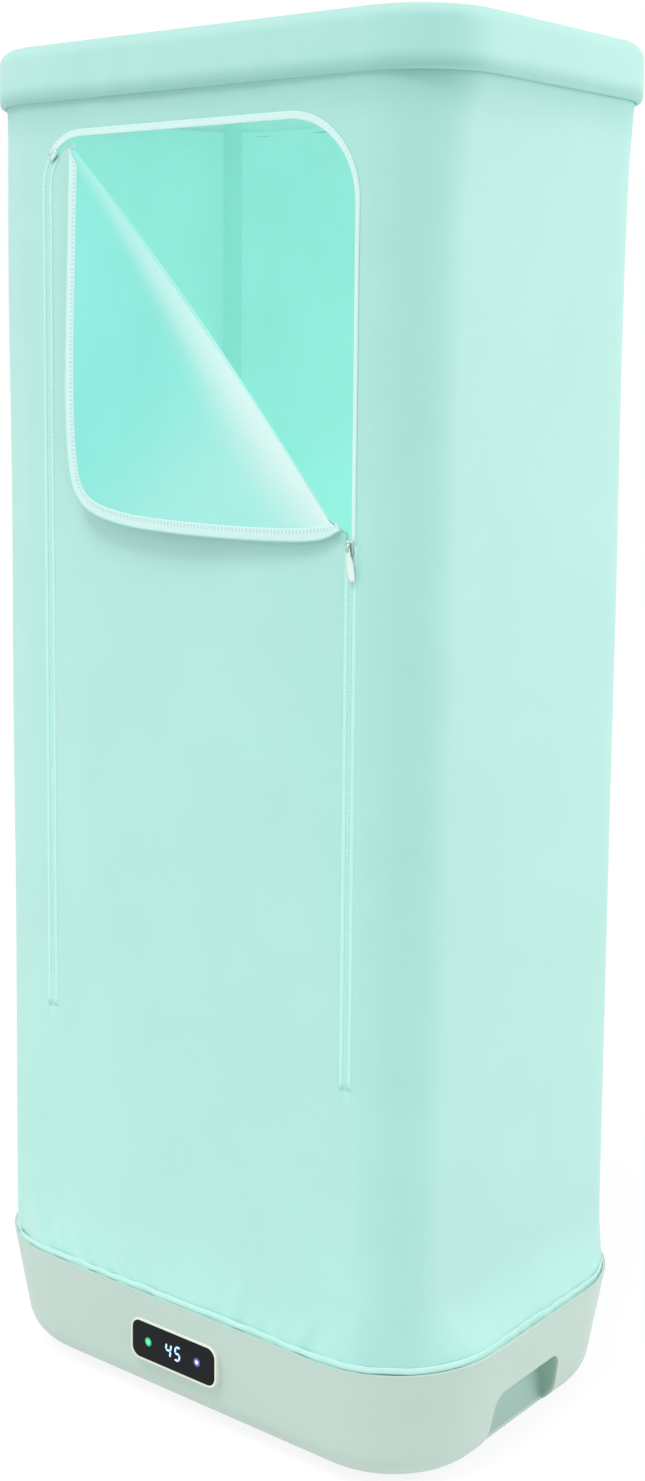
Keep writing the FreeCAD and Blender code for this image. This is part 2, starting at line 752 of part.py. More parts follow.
def build_fan():
    """Build the intake grille, the filter, the fan's shroud with its spider, its motor, shaft and impeller."""
    flange = cylinder("intake_flange", mm.intake_radius + mm.intake_flange,
                      (mm.floor_gap - mm.intake_flange_thick, mm.floor_gap))
    spigot = cylinder("intake_spigot", mm.intake_radius - mm.slip_fit, (mm.floor_gap, base_floor))
    first = -mm.intake_slot_pitch * ((INTAKE_SLOTS - 1) / 2)
    slots = [centred_box(f"intake_slot_{index}", ZERO, first + mm.intake_slot_pitch * index,
                         mm.intake_slot_long, mm.intake_slot_wide,
                         (mm.floor_gap - mm.overrun, base_floor + mm.overrun))
             for index in range(INTAKE_SLOTS)]
    node("intake_grille", cut("intake_grille", fuse("intake_blank", flange, spigot), *slots))

    node("dust_filter", cylinder("dust_filter", mm.shroud_radius + mm.shroud_wall, (base_floor, filter_top)))

    shroud_top = filter_top + mm.shroud_high
    spider = (filter_top, filter_top + mm.spider_thick)
    ring = tube("shroud_ring", mm.shroud_radius + mm.shroud_wall, mm.shroud_radius, (filter_top, shroud_top))
    foot = tube("shroud_foot", mm.shroud_radius + mm.shroud_wall + mm.shroud_flange, mm.shroud_radius,
                (filter_top, filter_top + mm.shroud_flange_thick))
    skirt = tube("shroud_skirt", mm.shroud_radius + mm.shroud_wall + mm.shroud_flange,
                 mm.shroud_radius + mm.shroud_wall, (base_floor, filter_top + mm.shroud_flange_thick))
    reach = 2 * mm.shroud_radius + mm.shroud_wall
    arms = [centred_box("spider_arm_x", ZERO, ZERO, reach, mm.spider_wide, spider),
            centred_box("spider_arm_y", ZERO, ZERO, mm.spider_wide, reach, spider)]
    plate = cylinder("spider_plate", mm.spider_plate_radius, spider)
    node("fan_shroud", fuse("fan_shroud", ring, foot, skirt, plate, *arms))

    motor_top = spider[1] + mm.motor_high
    node("fan_motor", cut("fan_motor", cylinder("motor_can", mm.motor_radius, (spider[1], motor_top)),
                          cylinder("motor_bore", mm.shaft_radius + mm.shaft_fit,
                                   (spider[1] + mm.shaft_foot - mm.shaft_fit, motor_top + mm.overrun))))
    hub = (spider[1] + mm.hub_lift, spider[1] + mm.hub_lift + mm.hub_high)
    node("fan_shaft", cylinder("fan_shaft", mm.shaft_radius, (spider[1] + mm.shaft_foot, hub[1])))
    cup = cut("hub_cup", cylinder("hub_out", mm.hub_radius, hub),
              cylinder("hub_in", mm.hub_radius - mm.hub_wall, (hub[0] - mm.overrun, hub[1] - mm.hub_wall)),
              cylinder("hub_bore", mm.shaft_radius, (hub[0], hub[1] + mm.overrun)))
    blades = doc.addObject("Part::Feature", "fan_blades")
    blades.Shape = Part.makeCompound([twisted_blade((hub[0] + hub[1]) / 2, turn) for turn in range(BLADES)])
    doc.recompute()
    node("fan_impeller", fuse("fan_impeller", cup, blades))


def twisted_blade(middle, turn):
    """Return one fan blade: a thin oblong at the hub and a longer, flatter one at the tip, joined by a loft."""
    def oblong(radius, chord, pitch):
        lean = math.radians(pitch)
        along = Vector(0, math.cos(lean), math.sin(lean)) * (chord / 2)
        across = Vector(0, -math.sin(lean), math.cos(lean)) * (mm.blade_thick.value / 2)
        centre = Vector(radius, 0, middle.value)
        corners = [centre - along - across, centre + along - across,
                   centre + along + across, centre - along + across]
        return Part.makePolygon(corners + corners[:1])

    root = oblong((mm.hub_radius - mm.blade_sink - mm.blade_bury).value, mm.blade_root_chord.value,
                  BLADE_ROOT_PITCH)
    tip = oblong(mm.blade_tip_radius.value, mm.blade_tip_chord.value, BLADE_TIP_PITCH)
    blade = Part.makeLoft([root, tip], True, True)
    core = Part.makeCylinder((mm.hub_radius - mm.blade_sink).value, mm.hub_high.value,
                             Vector(0, 0, (middle - mm.hub_high / 2).value))
    blade = blade.cut(core)
    blade.rotate(Vector(), Vector(0, 0, 1), 360.0 * turn / BLADES)
    return blade


def build_heater():
    """Build the heater's frame, its finned core, its standoffs and the thermal cutout."""
    frame = (mm.heater_floor, mm.heater_floor + mm.heater_high)
    inside = (core_wide, core_deep)
    node("heater_frame", cut("heater_frame",
                             centred_box("heater_out", ZERO, ZERO, mm.heater_wide, mm.heater_deep, frame),
                             centred_box("heater_in", ZERO, ZERO, *inside,
                                         (frame[0] - mm.overrun, frame[1] + mm.overrun))))
    middle = (frame[0] + frame[1]) / 2
    core = (middle - mm.core_high / 2, middle + mm.core_high / 2)
    first_x = -mm.core_slot_pitch_x * ((CORE_COLUMNS - 1) / 2)
    first_y = -mm.core_slot_pitch_y * ((CORE_ROWS - 1) / 2)
    body = pad("heater_core", "XY_Plane", core[0], rectangle(*inside), [None] * 4, mm.core_high)
    node("heater_core", slotted(body, "core_slot",
                                rectangle(mm.core_slot_wide, mm.core_slot_long, first_x, first_y),
                                CORE_COLUMNS, mm.core_slot_pitch_x, "X_Axis",
                                (CORE_ROWS, mm.core_slot_pitch_y, "Y_Axis")))
    node("heater_standoffs", group("heater_standoffs", four(
        lambda index, x, y: cylinder(f"standoff_{index}", mm.standoff_radius,
                                     (base_floor, mm.heater_floor), x, y),
        mm.heater_wide / 2 - mm.standoff_radius, mm.heater_deep / 2 - mm.standoff_radius)))
    cutout = doc.addObject("Part::Cylinder", "thermal_cutout")
    cutout.Placement = Placement(Vector(), Rotation(Vector(0, 1, 0), 90))
    bind(cutout, Radius=mm.cutout_radius, Height=mm.cutout_high)
    node("thermal_cutout", place(cutout, mm.heater_wide / 2, ZERO, middle))


def build_controls():
    """Build the control board and its bracket, the display and the power inlet."""
    face = -mm.board_face
    back = face - mm.board_thick
    board_top = mm.board_low + mm.board_high
    node("control_board", box("control_board", (-mm.board_wide / 2, mm.board_wide / 2), (back, face),
                              (mm.board_low, board_top)))
    relay_x = mm.board_wide / 2 - mm.relay_wide
    relay_low = mm.board_low + mm.relay_set
    relays = [centred_box(f"relay_{index}", x, back - mm.relay_deep / 2, mm.relay_wide, mm.relay_deep,
                          (relay_low, relay_low + mm.relay_high))
              for index, x in enumerate((-relay_x, relay_x))]
    capacitor = doc.addObject("Part::Cylinder", "capacitor")
    capacitor.Placement = Placement(Vector(), Rotation(Vector(1, 0, 0), 90))
    bind(capacitor, Radius=mm.capacitor_radius, Height=mm.capacitor_long)
    place(capacitor, ZERO, back, board_top - 2 * mm.capacitor_radius)
    node("board_components", group("board_components", [*relays, capacitor]))
    half = mm.bracket_wide / 2
    upright = box("bracket_upright", (-half, half), (face, face + mm.bracket_thick),
                  (base_floor, base_floor + mm.bracket_high))
    foot = box("bracket_foot", (-half, half), (face, face + mm.bracket_foot),
               (base_floor, base_floor + mm.bracket_thick))
    node("board_bracket", fuse("board_bracket", upright, foot))

    opening = mm.bezel_rim
    lens_front = mm.display_front - mm.lens_recess
    lens_back = lens_front - mm.lens_thick
    body = display_block("bezel_body", ZERO, mm.display_front, mm.display_front - mm.display_back)
    flange = display_block("bezel_flange", -mm.bezel_flange, mm.display_back + mm.bezel_flange_thick,
                           mm.bezel_flange_thick)
    inside = display_block("bezel_inside", opening, mm.display_front + mm.overrun,
                           mm.display_front - mm.display_back + 2 * mm.overrun)
    node("display_bezel", cut("display_bezel", fuse("bezel_blank", body, flange), inside))
    node("display_lens", display_block("display_lens", opening, lens_front, mm.lens_thick))
    node("display_board", display_block("display_board", opening, lens_back, mm.display_board_thick))
    lit = (-(lens_front + mm.lit_thick), -lens_front)
    node("display_digits", group("display_digits", digit_bars(lit)))
    for label, x in (("lamp_green", mm.display_x - mm.lamp_x), ("lamp_white", mm.display_x + mm.lamp_x)):
        lamp = doc.addObject("Part::Cylinder", label)
        lamp.Placement = Placement(Vector(), Rotation(Vector(1, 0, 0), 90))
        bind(lamp, Radius=mm.lamp_radius, Height=mm.lit_thick)
        node(label, place(lamp, x, -lens_front, mm.display_z))

    face = mm.inlet_face
    inlet = inlet_block("inlet_body", ZERO, (face - mm.inlet_long, face))
    collar = inlet_block("inlet_collar", mm.inlet_flange,
                         (face - mm.inlet_flange_set - mm.inlet_wall, face - mm.inlet_flange_set))
    well = inlet_block("inlet_well", -mm.inlet_wall, (face - mm.inlet_deep, face + mm.overrun))
    node("power_inlet", cut("power_inlet", fuse("inlet_blank", inlet, collar), well))
    bottom = face - mm.inlet_deep
    node("inlet_pins", group("inlet_pins", [
        centred_box(f"inlet_pin_{index}", mm.inlet_x + mm.pin_pitch * (index - 1), bottom + mm.pin_long / 2,
                    mm.pin_wide, mm.pin_long, (mm.inlet_z - mm.pin_high / 2, mm.inlet_z + mm.pin_high / 2))
        for index in range(3)]))


def digit_bars(lit):
    """Return the lit bars of the digits: three lying bars and four standing ones to choose from in each."""
    bars = []
    step = mm.digit_wide + mm.digit_gap
    half, stroke, mitre = mm.digit_high / 2, mm.digit_stroke, mm.digit_mitre
    for place_number, figure in enumerate(DISPLAY_TIME):
        middle = mm.display_x + step * (place_number - (len(DISPLAY_TIME) - 1) / 2)
        left, right = middle - mm.digit_wide / 2, middle + mm.digit_wide / 2
        low, high = mm.display_z - half, mm.display_z + half
        lying = (left + stroke + mitre, right - stroke - mitre)
        upper = (mm.display_z + mitre, high)
        lower = (low, mm.display_z - mitre)
        spots = {"a": (lying, (high - stroke, high)), "b": ((right - stroke, right), upper),
                 "c": ((right - stroke, right), lower), "d": (lying, (low, low + stroke)),
                 "e": ((left, left + stroke), lower), "f": ((left, left + stroke), upper),
                 "g": (lying, (mm.display_z - stroke / 2, mm.display_z + stroke / 2))}
        bars += [box(f"digit_{place_number}_{letter}", spots[letter][0], lit, spots[letter][1])
                 for letter in DIGIT_SEGMENTS[figure]]
    return bars


def build_frame():
    """Build the four posts in two lengths, their sockets and ferrules, the cap and the hanging rod."""
    bore = mm.post_radius + mm.post_fit
    post_foot = deck_top + mm.socket_flange_thick
    post_head = cap_top - mm.cap_wall - mm.post_wall

    def socket(index, x, y):
        flange = cylinder(f"socket_flange_{index}", mm.socket_flange_radius, (deck_top, post_foot), x, y)
        sleeve = tube(f"socket_sleeve_{index}", mm.socket_radius, bore,
                      (post_foot, deck_top + mm.socket_high), x, y)
        return fuse(f"post_socket_{index}", flange, sleeve)

    node("post_sockets", group("post_sockets", four(socket, mm.post_x, mm.post_y)))
    names = ("front_left", "front_right", "back_right", "back_left")
    inside = mm.post_radius - mm.post_wall
    for part, z in (("lower", (post_foot, mm.post_join)), ("upper", (mm.post_join, post_head))):
        four(lambda index, x, y: node(f"post_{part}_{names[index]}",
                                      tube(f"post_{part}_{names[index]}", mm.post_radius, inside, z, x, y)),
             mm.post_x, mm.post_y)
    half = mm.ferrule_long / 2
    node("post_ferrules", group("post_ferrules", four(
        lambda index, x, y: tube(f"ferrule_{index}", mm.ferrule_radius, bore,
                                 (mm.post_join - half, mm.post_join + half), x, y), mm.post_x, mm.post_y)))

    shrink = mm.fabric + mm.cap_gap
    edge = mm.brim_edge - shrink
    outer = brim_block("cap_outer", shrink, cap_top, brim_low, edge)
    inner = brim_block("cap_inner", shrink + mm.cap_wall, cap_ceiling, brim_low - mm.overrun,
                       edge - mm.cap_wall)
    low = cap_ceiling - mm.cap_socket_deep
    sockets = four(lambda index, x, y: cylinder(f"cap_socket_{index}", mm.socket_radius,
                                                (low, cap_top - mm.cap_gap), x, y), mm.post_x, mm.post_y)
    bores = four(lambda index, x, y: cylinder(f"cap_bore_{index}", bore, (low - mm.overrun, post_head), x, y),
                 mm.post_x, mm.post_y)
    screw_x = mm.hanger_plate_x + mm.hanger_plate_thick + mm.hanger_flange / 2
    holes = four(lambda index, x, y: cylinder(f"cap_hole_{index}", mm.screw_radius + mm.screw_fit,
                                              (cap_ceiling - mm.overrun, cap_ceiling + mm.cap_wall / 2), x, y),
                 screw_x, mm.hanger_screw_y)
    shell = fuse("cap_whole", cut("cap_shell", outer, inner), *sockets)
    node("top_cap", cut("top_cap", shell, *bores, *holes))

    rod_z = cap_top - mm.rod_drop
    rod = cut("hanging_rod", lying_cylinder("rod_out", mm.rod_radius, (-mm.rod_half, mm.rod_half), ZERO, rod_z),
              lying_cylinder("rod_in", mm.rod_radius - mm.rod_wall,
                             (-mm.rod_half - mm.overrun, mm.rod_half + mm.overrun), ZERO, rod_z))
    node("hanging_rod", rod)
    half = (-mm.hanger_plate_half, mm.hanger_plate_half)
    plate_end = mm.hanger_plate_x + mm.hanger_plate_thick
    plate = box("hanger_plate", (mm.hanger_plate_x, plate_end), half,
                (rod_z - mm.hanger_plate_low, cap_ceiling))
    flange = box("hanger_flange", (mm.hanger_plate_x, plate_end + mm.hanger_flange), half,
                 (cap_ceiling - mm.hanger_flange_thick, cap_ceiling))
    bore = lying_cylinder("hanger_bore", mm.rod_radius + mm.rod_fit,
                          (mm.hanger_plate_x - mm.overrun, plate_end + mm.overrun), ZERO, rod_z)
    screw_holes = [cylinder(f"hanger_hole_{index}", mm.screw_radius + mm.screw_fit,
                            (cap_ceiling - mm.overrun, cap_ceiling + mm.overrun), screw_x, y)
                   for index, y in enumerate((-mm.hanger_screw_y, mm.hanger_screw_y))]
    blank = fuse("hanger_blank", plate, flange)
    right = node("rod_bracket_right", cut("rod_bracket_right", blank, bore, *screw_holes))
    node("rod_bracket_left", mirrored("rod_bracket_left", right))
    seat = cap_ceiling - mm.hanger_flange_thick

    def hanger_screw(index, x, y):
        head = cylinder(f"hanger_screw_head_{index}", mm.screw_head_radius,
                        (seat - mm.screw_head_high, seat), x, y)
        shank = cylinder(f"hanger_screw_shank_{index}", mm.screw_radius,
                         (seat, cap_ceiling + mm.cap_wall / 2 - mm.screw_fit), x, y)
        return fuse(f"hanger_screw_{index}", head, shank)

    node("bracket_screws", group("bracket_screws", four(hanger_screw, screw_x, mm.hanger_screw_y)))


def brim_block(name, shrink, top, low, edge):
    """Make a block of the brim's outline, made smaller by shrink, with a round along its top edge."""
    body = rounded_block(name, mm.brim_width - 2 * shrink, mm.brim_depth - 2 * shrink, mm.brim_corner - shrink,
                         (low, top))
    return edge_round(body, f"{name}_edge", top, edge)


def sleeve_block(name, shrink):
    """Make the solid inside the cover from the base rim up to the brim, made smaller by shrink all round."""
    rim = mm.base_wall + mm.hem_gap + shrink
    tuck = rim + lean_below_rim(mm.hem_tuck)
    return rounded_loft(name, (
        (mm.base_width - 2 * tuck, mm.base_depth - 2 * tuck, mm.base_corner - tuck, hem_low),
        (mm.base_width - 2 * rim, mm.base_depth - 2 * rim, mm.base_corner - rim, mm.base_top),
        (mm.sleeve_width - 2 * shrink, mm.sleeve_depth - 2 * shrink, mm.sleeve_corner - shrink, hem_top),
        (mm.sleeve_width - 2 * shrink, mm.sleeve_depth - 2 * shrink, mm.sleeve_corner - shrink, neck_low),
        (mm.brim_width - 2 * shrink, mm.brim_depth - 2 * shrink, mm.brim_corner - shrink, brim_low)))


def arch(name, grow, front, thick):
    """Make a plate of the door's outline, moved out by grow, with its front at a distance from the middle."""
    corners = [(mm.zip_left - grow, mm.zip_low), (mm.zip_right + grow, mm.zip_low),
               (mm.zip_right + grow, mm.zip_top + grow), (mm.zip_left - grow, mm.zip_top + grow)]
    rounds = [None, None, mm.zip_right_round + grow, mm.zip_left_round + grow]
    return pad(name, "XZ_Plane", front, corners, rounds, thick, reverse=True)


def band(name, outer, inner, front, thick):
    """Make a strip that follows the door's outline, between two offsets from the zip's middle line."""
    return cut(name, arch(f"{name}_out", outer, front, thick),
               arch(f"{name}_in", inner, front + mm.overrun, thick + 2 * mm.overrun))


def fold_corner(name, gap, front, thick):
    """Make the prism over the corner of the door that is folded away, kept back from the fold by gap."""
    corners = [(mm.fold_left_x + gap, mm.fold_left_z), (mm.fold_right_x, mm.fold_right_z + gap),
               (mm.fold_right_x, mm.fold_left_z)]
    return pad(name, "XZ_Plane", front + mm.overrun, corners, [None] * 3, thick + 2 * mm.overrun, reverse=True)


def flap_corner(name, front, thick):
    """Make the prism over the folded corner, with its two thin tips cut off short of the sliders."""
    slope = (mm.fold_left_z - mm.fold_right_z) / (mm.fold_right_x - mm.fold_left_x)
    left, low = mm.flap_left, mm.flap_low
    start = mm.fold_left_x + mm.fold_gap
    corners = [(left, mm.fold_left_z - slope * (left - start)), (start + (mm.fold_left_z - low) / slope, low),
               (mm.fold_right_x, low), (mm.fold_right_x, mm.fold_left_z), (left, mm.fold_left_z)]
    return pad(name, "XZ_Plane", front + mm.overrun, corners, [None] * 5, thick + 2 * mm.overrun, reverse=True)


def folded(name, source):
    """Turn a piece of the door's corner over the fold line, to where it lies on the front of the door."""
    item = doc.addObject("Part::Mirroring", name)
    item.Source = source
    item.setExpression(".Base.x", mm.fold_left_x.text)
    item.setExpression(".Base.z", mm.fold_left_z.text)
    item.setExpression(".Normal.x", (mm.fold_left_z - mm.fold_right_z).text)
    item.setExpression(".Normal.y", ZERO.text)
    item.setExpression(".Normal.z", (mm.fold_right_x - mm.fold_left_x).text)
    return item


def build_cover():
    """Build the fabric cover: its top with the brim and its four side panels."""
    outer = brim_block("cover_top_outer", ZERO, mm.overall_height, brim_low, mm.brim_edge)
    inner = brim_block("cover_top_inner", mm.fabric, mm.overall_height - mm.fabric, brim_low - mm.overrun,
                       mm.brim_edge - mm.fabric)
    node("cover_top", cut("cover_top", outer, inner))
    sleeve = cut("sleeve", sleeve_block("sleeve_outer", ZERO), sleeve_block("sleeve_inner", mm.fabric))
    reach = mm.base_width
    tall = (ZERO, mm.overall_height)
    front = common("front_strip", sleeve, box("front_side", (-seam, seam), (-reach, ZERO), tall))
    face = mm.sleeve_depth / 2
    window = arch("front_window", mm.chain_half + mm.tape_wide, face + mm.overrun, mm.fabric + 2 * mm.overrun)
    node("cover_front", cut("cover_front", front, window))
    node("cover_back", common("cover_back", sleeve, box("back_side", (-seam, seam), (ZERO, reach), tall)))
    right_side = box("right_side", (seam, reach), (-reach, reach), tall)
    right = node("cover_right", common("cover_right", sleeve, right_side))
    node("cover_left", mirrored("cover_left", right))


def build_door():
    """Build the door's shut part, its folded corner and the zip between the door and the front panel."""
    face = mm.sleeve_depth / 2
    cloth = (face, mm.fabric)
    tape = (face + mm.tape_proud, mm.fabric + 2 * mm.tape_proud)
    chain = (face + mm.chain_proud, mm.fabric + 2 * mm.chain_proud)
    edge = mm.chain_half + mm.tape_wide

    node("door_panel", cut("door_panel", arch("door_blank", -edge, *cloth),
                           fold_corner("door_corner", -mm.fold_gap, *cloth)))
    node("zip_tape_frame", band("zip_tape_frame", edge, mm.chain_half, *tape))
    node("zip_tape_door", cut("zip_tape_door", band("door_tape", -mm.chain_half, -edge, *tape),
                              fold_corner("door_tape_corner", -mm.fold_gap, *tape)))
    node("zip_chain", cut("zip_chain", band("chain_loop", mm.chain_half, -mm.chain_half, *chain),
                          fold_corner("chain_corner", -mm.fold_gap, *chain)))
    node("zip_teeth_frame", common("zip_teeth_frame", band("frame_teeth", mm.chain_half, mm.chain_play, *chain),
                                   fold_corner("frame_teeth_corner", mm.fold_gap, *chain)))

    def raised(plate):
        return plate[0] + mm.flap_rise, plate[1]

    flap = common("flap_flat", arch("flap_blank", -edge, *raised(cloth)),
                  flap_corner("flap_corner", *raised(cloth)))
    node("door_flap", folded("door_flap", flap))
    flap_tape = common("flap_tape_flat", band("flap_tape", -mm.chain_half, -edge, *raised(tape)),
                       flap_corner("flap_tape_corner", *raised(tape)))
    node("zip_tape_flap", folded("zip_tape_flap", flap_tape))
    flap_teeth = common("flap_teeth_flat", band("flap_teeth", -mm.chain_play, -mm.chain_half, *raised(chain)),
                        flap_corner("flap_teeth_corner", *raised(chain)))
    node("zip_teeth_flap", folded("zip_teeth_flap", flap_teeth))
    build_sliders(-(chain[0] + mm.slider_play))


def build_sliders(back):
    """Build the right slider with its pull, and the left slider at the corner of the door."""
    front = back - mm.slider_thick
    middle = mm.zip_right
    half = mm.slider_wide / 2
    plate = box("slider_plate", (middle - half, middle + half), (front, back),
                (mm.slider_z - mm.slider_high / 2, mm.slider_z + mm.slider_high / 2))
    pin_y = front - mm.pin_stand
    lug_in = half - mm.lug_inset - mm.lug_thick
    lugs = [box(f"slider_lug_{name}", x, (front - mm.lug_deep, front),
                (mm.slider_z - mm.lug_high / 2, mm.slider_z + mm.lug_high / 2))
            for name, x in (("left", (middle - lug_in - mm.lug_thick, middle - lug_in)),
                            ("right", (middle + lug_in, middle + lug_in + mm.lug_thick)))]
    pin_end = lug_in + mm.lug_thick / 2
    pin = lying_cylinder("slider_pin", mm.pin_radius, (middle - pin_end, middle + pin_end), pin_y, mm.slider_z)
    node("zip_slider_right", fuse("zip_slider_right", plate, *lugs, pin))

    neck = lug_in - mm.eye_play
    eye = lying_cylinder("pull_eye", mm.eye_radius, (middle - neck, middle + neck), pin_y, mm.slider_z)
    thick = (pin_y - mm.pull_thick / 2, pin_y + mm.pull_thick / 2)
    stem = box("pull_stem", (middle - neck, middle + neck), thick, (mm.slider_z - mm.pull_neck, mm.slider_z))
    tab = box("pull_tab", (middle - mm.pull_wide / 2, middle + mm.pull_wide / 2), thick,
              (mm.slider_z - mm.pull_long, mm.slider_z - mm.pull_neck))
    hole = lying_cylinder("pull_hole", mm.pin_radius + mm.pin_fit, (middle - half, middle + half),
                          pin_y, mm.slider_z)
    node("zip_pull", cut("zip_pull", fuse("pull_blank", eye, stem, tab), hole))

    turn = math.radians(LEFT_SLIDER_TURN)
    spin = Rotation(Vector(0, 1, 0), -LEFT_SLIDER_TURN + 90.0)
    centre_x = mm.zip_left + mm.zip_left_round - mm.zip_left_round * math.cos(turn)
    centre_z = mm.zip_top - mm.zip_left_round + mm.zip_left_round * math.sin(turn)
    left = doc.addObject("Part::Box", "zip_slider_left")
    left.Placement = Placement(Vector(), spin)
    bind(left, Length=mm.left_slider_high, Width=mm.slider_thick, Height=mm.slider_wide)
    corner = spin.multVec(Vector(1, 0, 0)) / 2
    rise = spin.multVec(Vector(0, 0, 1)) / 2
    place(left, centre_x - mm.left_slider_high * corner.x - mm.slider_wide * rise.x, front,
          centre_z - mm.left_slider_high * corner.z - mm.slider_wide * rise.z)
    node("zip_slider_left", left)


def write_parts():
    """Check every object of the document and write one STEP file for each piece."""
    doc.recompute()
    for item in doc.Objects:
        if "Invalid" in item.State or "Error" in item.State:
            raise ValueError(f"{item.Name} did not build: {item.State}")
    for label, item in nodes.items():
        if item.Shape.isNull() or not item.Shape.isValid() or not item.Shape.Solids:
            raise ValueError(f"{label} has no valid shape")
    os.makedirs("parts", exist_ok=True)
    for label, item in nodes.items():
        item.Shape.exportStep(f"parts/{label}.step")
        print(f"{label}: {len(item.Shape.Solids)} solid(s), {item.Shape.Volume:.0f} mm3")


build_housing()
build_deck()
build_fan()
build_heater()
build_controls()
build_frame()
build_cover()
build_door()
write_parts()
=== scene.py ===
"""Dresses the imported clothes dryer: builds its cover, door, zip and display, and finishes every piece.

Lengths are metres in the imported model's own frame: +Z up, front towards -Y, origin on the ground.
"""
from __future__ import annotations

import logging
import math
from collections.abc import Mapping, Sequence
from dataclasses import dataclass, field
from enum import Enum
from functools import partial

import bmesh
import bpy
import numpy as np
from mathutils import Matrix


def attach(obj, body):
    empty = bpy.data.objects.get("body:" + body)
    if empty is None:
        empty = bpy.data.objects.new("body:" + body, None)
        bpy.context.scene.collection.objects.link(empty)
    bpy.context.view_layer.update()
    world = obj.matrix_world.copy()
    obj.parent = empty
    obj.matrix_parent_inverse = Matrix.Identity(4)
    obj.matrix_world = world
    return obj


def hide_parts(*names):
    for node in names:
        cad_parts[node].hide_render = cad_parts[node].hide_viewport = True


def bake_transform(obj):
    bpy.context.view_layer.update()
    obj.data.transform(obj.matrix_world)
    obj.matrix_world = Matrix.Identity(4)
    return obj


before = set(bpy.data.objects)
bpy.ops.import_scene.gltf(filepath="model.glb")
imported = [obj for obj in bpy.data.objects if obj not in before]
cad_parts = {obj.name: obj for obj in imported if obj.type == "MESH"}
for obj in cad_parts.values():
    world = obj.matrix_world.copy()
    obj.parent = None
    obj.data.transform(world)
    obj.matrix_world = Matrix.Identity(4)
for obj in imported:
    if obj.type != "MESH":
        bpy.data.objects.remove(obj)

Array = np.ndarray
Span = tuple[float, float]
Colour = tuple[float, float, float]
Place = tuple[float, float, float]
Bend = tuple[Place, Place]
LOG = logging.getLogger("clothes_dryer")
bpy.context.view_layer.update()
RIGHT, FRONT, UP = np.array([(1.0, 0.0, 0.0), (0.0, -1.0, 0.0), (0.0, 0.0, 1.0)])
QUARTER = math.pi / 2.0
WHITE = (1.0, 1.0, 1.0, 1.0)
MERGED = 1e-6  # Points closer together than this become one.
SLIVER = 1e-7  # Edges shorter than this are taken out.


class Body(str, Enum):
    """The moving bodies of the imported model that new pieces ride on."""

    BASE = "base"
    FLAP = "flap"
    RIGHT_SLIDER = "right_slider"
    RIGHT_PULL = "right_pull"
    LEFT_SLIDER = "left_slider"


class Hold(str, Enum):
    """How a sheet of cloth is held."""

    STRETCHED = "stretched"
    FOLDED = "folded"


def linear(colour: Colour) -> tuple[float, float, float, float]:
    """Turn a colour as seen on a screen into the linear colour that a shader takes, by the usual sRGB curve.

    Args:
        colour: Red, green and blue from 0 to 255.

    Returns:
        Linear red, green, blue and an alpha of 1.
    """
    shares = np.asarray(colour, float) / 255.0
    values = np.where(shares <= 0.04045, shares / 12.92, ((shares + 0.055) / 1.055) ** 2.4)
    return (*values.tolist(), 1.0)


def eased(value: Array, low: float, high: float) -> Array:
    """Ease from 0 at low to 1 at high by the cubic 3t^2 - 2t^3.

    Args:
        value: Where to read the ease.
        low: Value at and below which the ease is 0.
        high: Value at and above which the ease is 1.

    Returns:
        The ease at each value.
    """
    share = np.clip((value - low) / (high - low), 0.0, 1.0)
    return share * share * (3.0 - 2.0 * share)


def lengths_along(points: Array) -> Array:
    """Return the length along a path at each of its points, from 0 at the first."""
    return np.concatenate([[0.0], np.cumsum(np.linalg.norm(np.diff(points, axis=0), axis=1))])


def ring(count: int, wide: float = 1.0, high: float = 1.0) -> Array:
    """Return points round an oval: cosine and sine of the angle, each to a power below 1 for squarer corners.

    Args:
        count: Number of points.
        wide: Power of the cosine.
        high: Power of the sine.

    Returns:
        count by 2 numbers, from -1 to 1.
    """
    angle = np.linspace(0.0, 2.0 * math.pi, count, endpoint=False)
    cosine, sine = np.cos(angle), np.sin(angle)
    return np.stack([np.sign(cosine) * np.abs(cosine) ** wide, np.sign(sine) * np.abs(sine) ** high], axis=1)


def rounded_path(corners: Sequence[Span], count: int, rounds: int = 5) -> Array:
    """Round a control polygon by cutting its corners at a quarter of each side, then space it evenly.

    Args:
        corners: Control points, of which the first and last are kept.
        count: Points wanted along the finished path.
        rounds: Times that the corners are cut.

    Returns:
        An array of count points, evenly spaced by arc length.
    """
    path = np.asarray(corners, float)
    for _ in range(rounds):
        quarter = 0.75 * path[:-1] + 0.25 * path[1:]
        three_quarters = 0.25 * path[:-1] + 0.75 * path[1:]
        cut = np.stack([quarter, three_quarters], axis=1).reshape(-1, path.shape[1])
        path = np.concatenate([path[:1], cut, path[-1:]])
    run = lengths_along(path)
    steps = np.linspace(0.0, run[-1], count)
    return np.stack([np.interp(steps, run, path[:, axis]) for axis in range(path.shape[1])], axis=1)


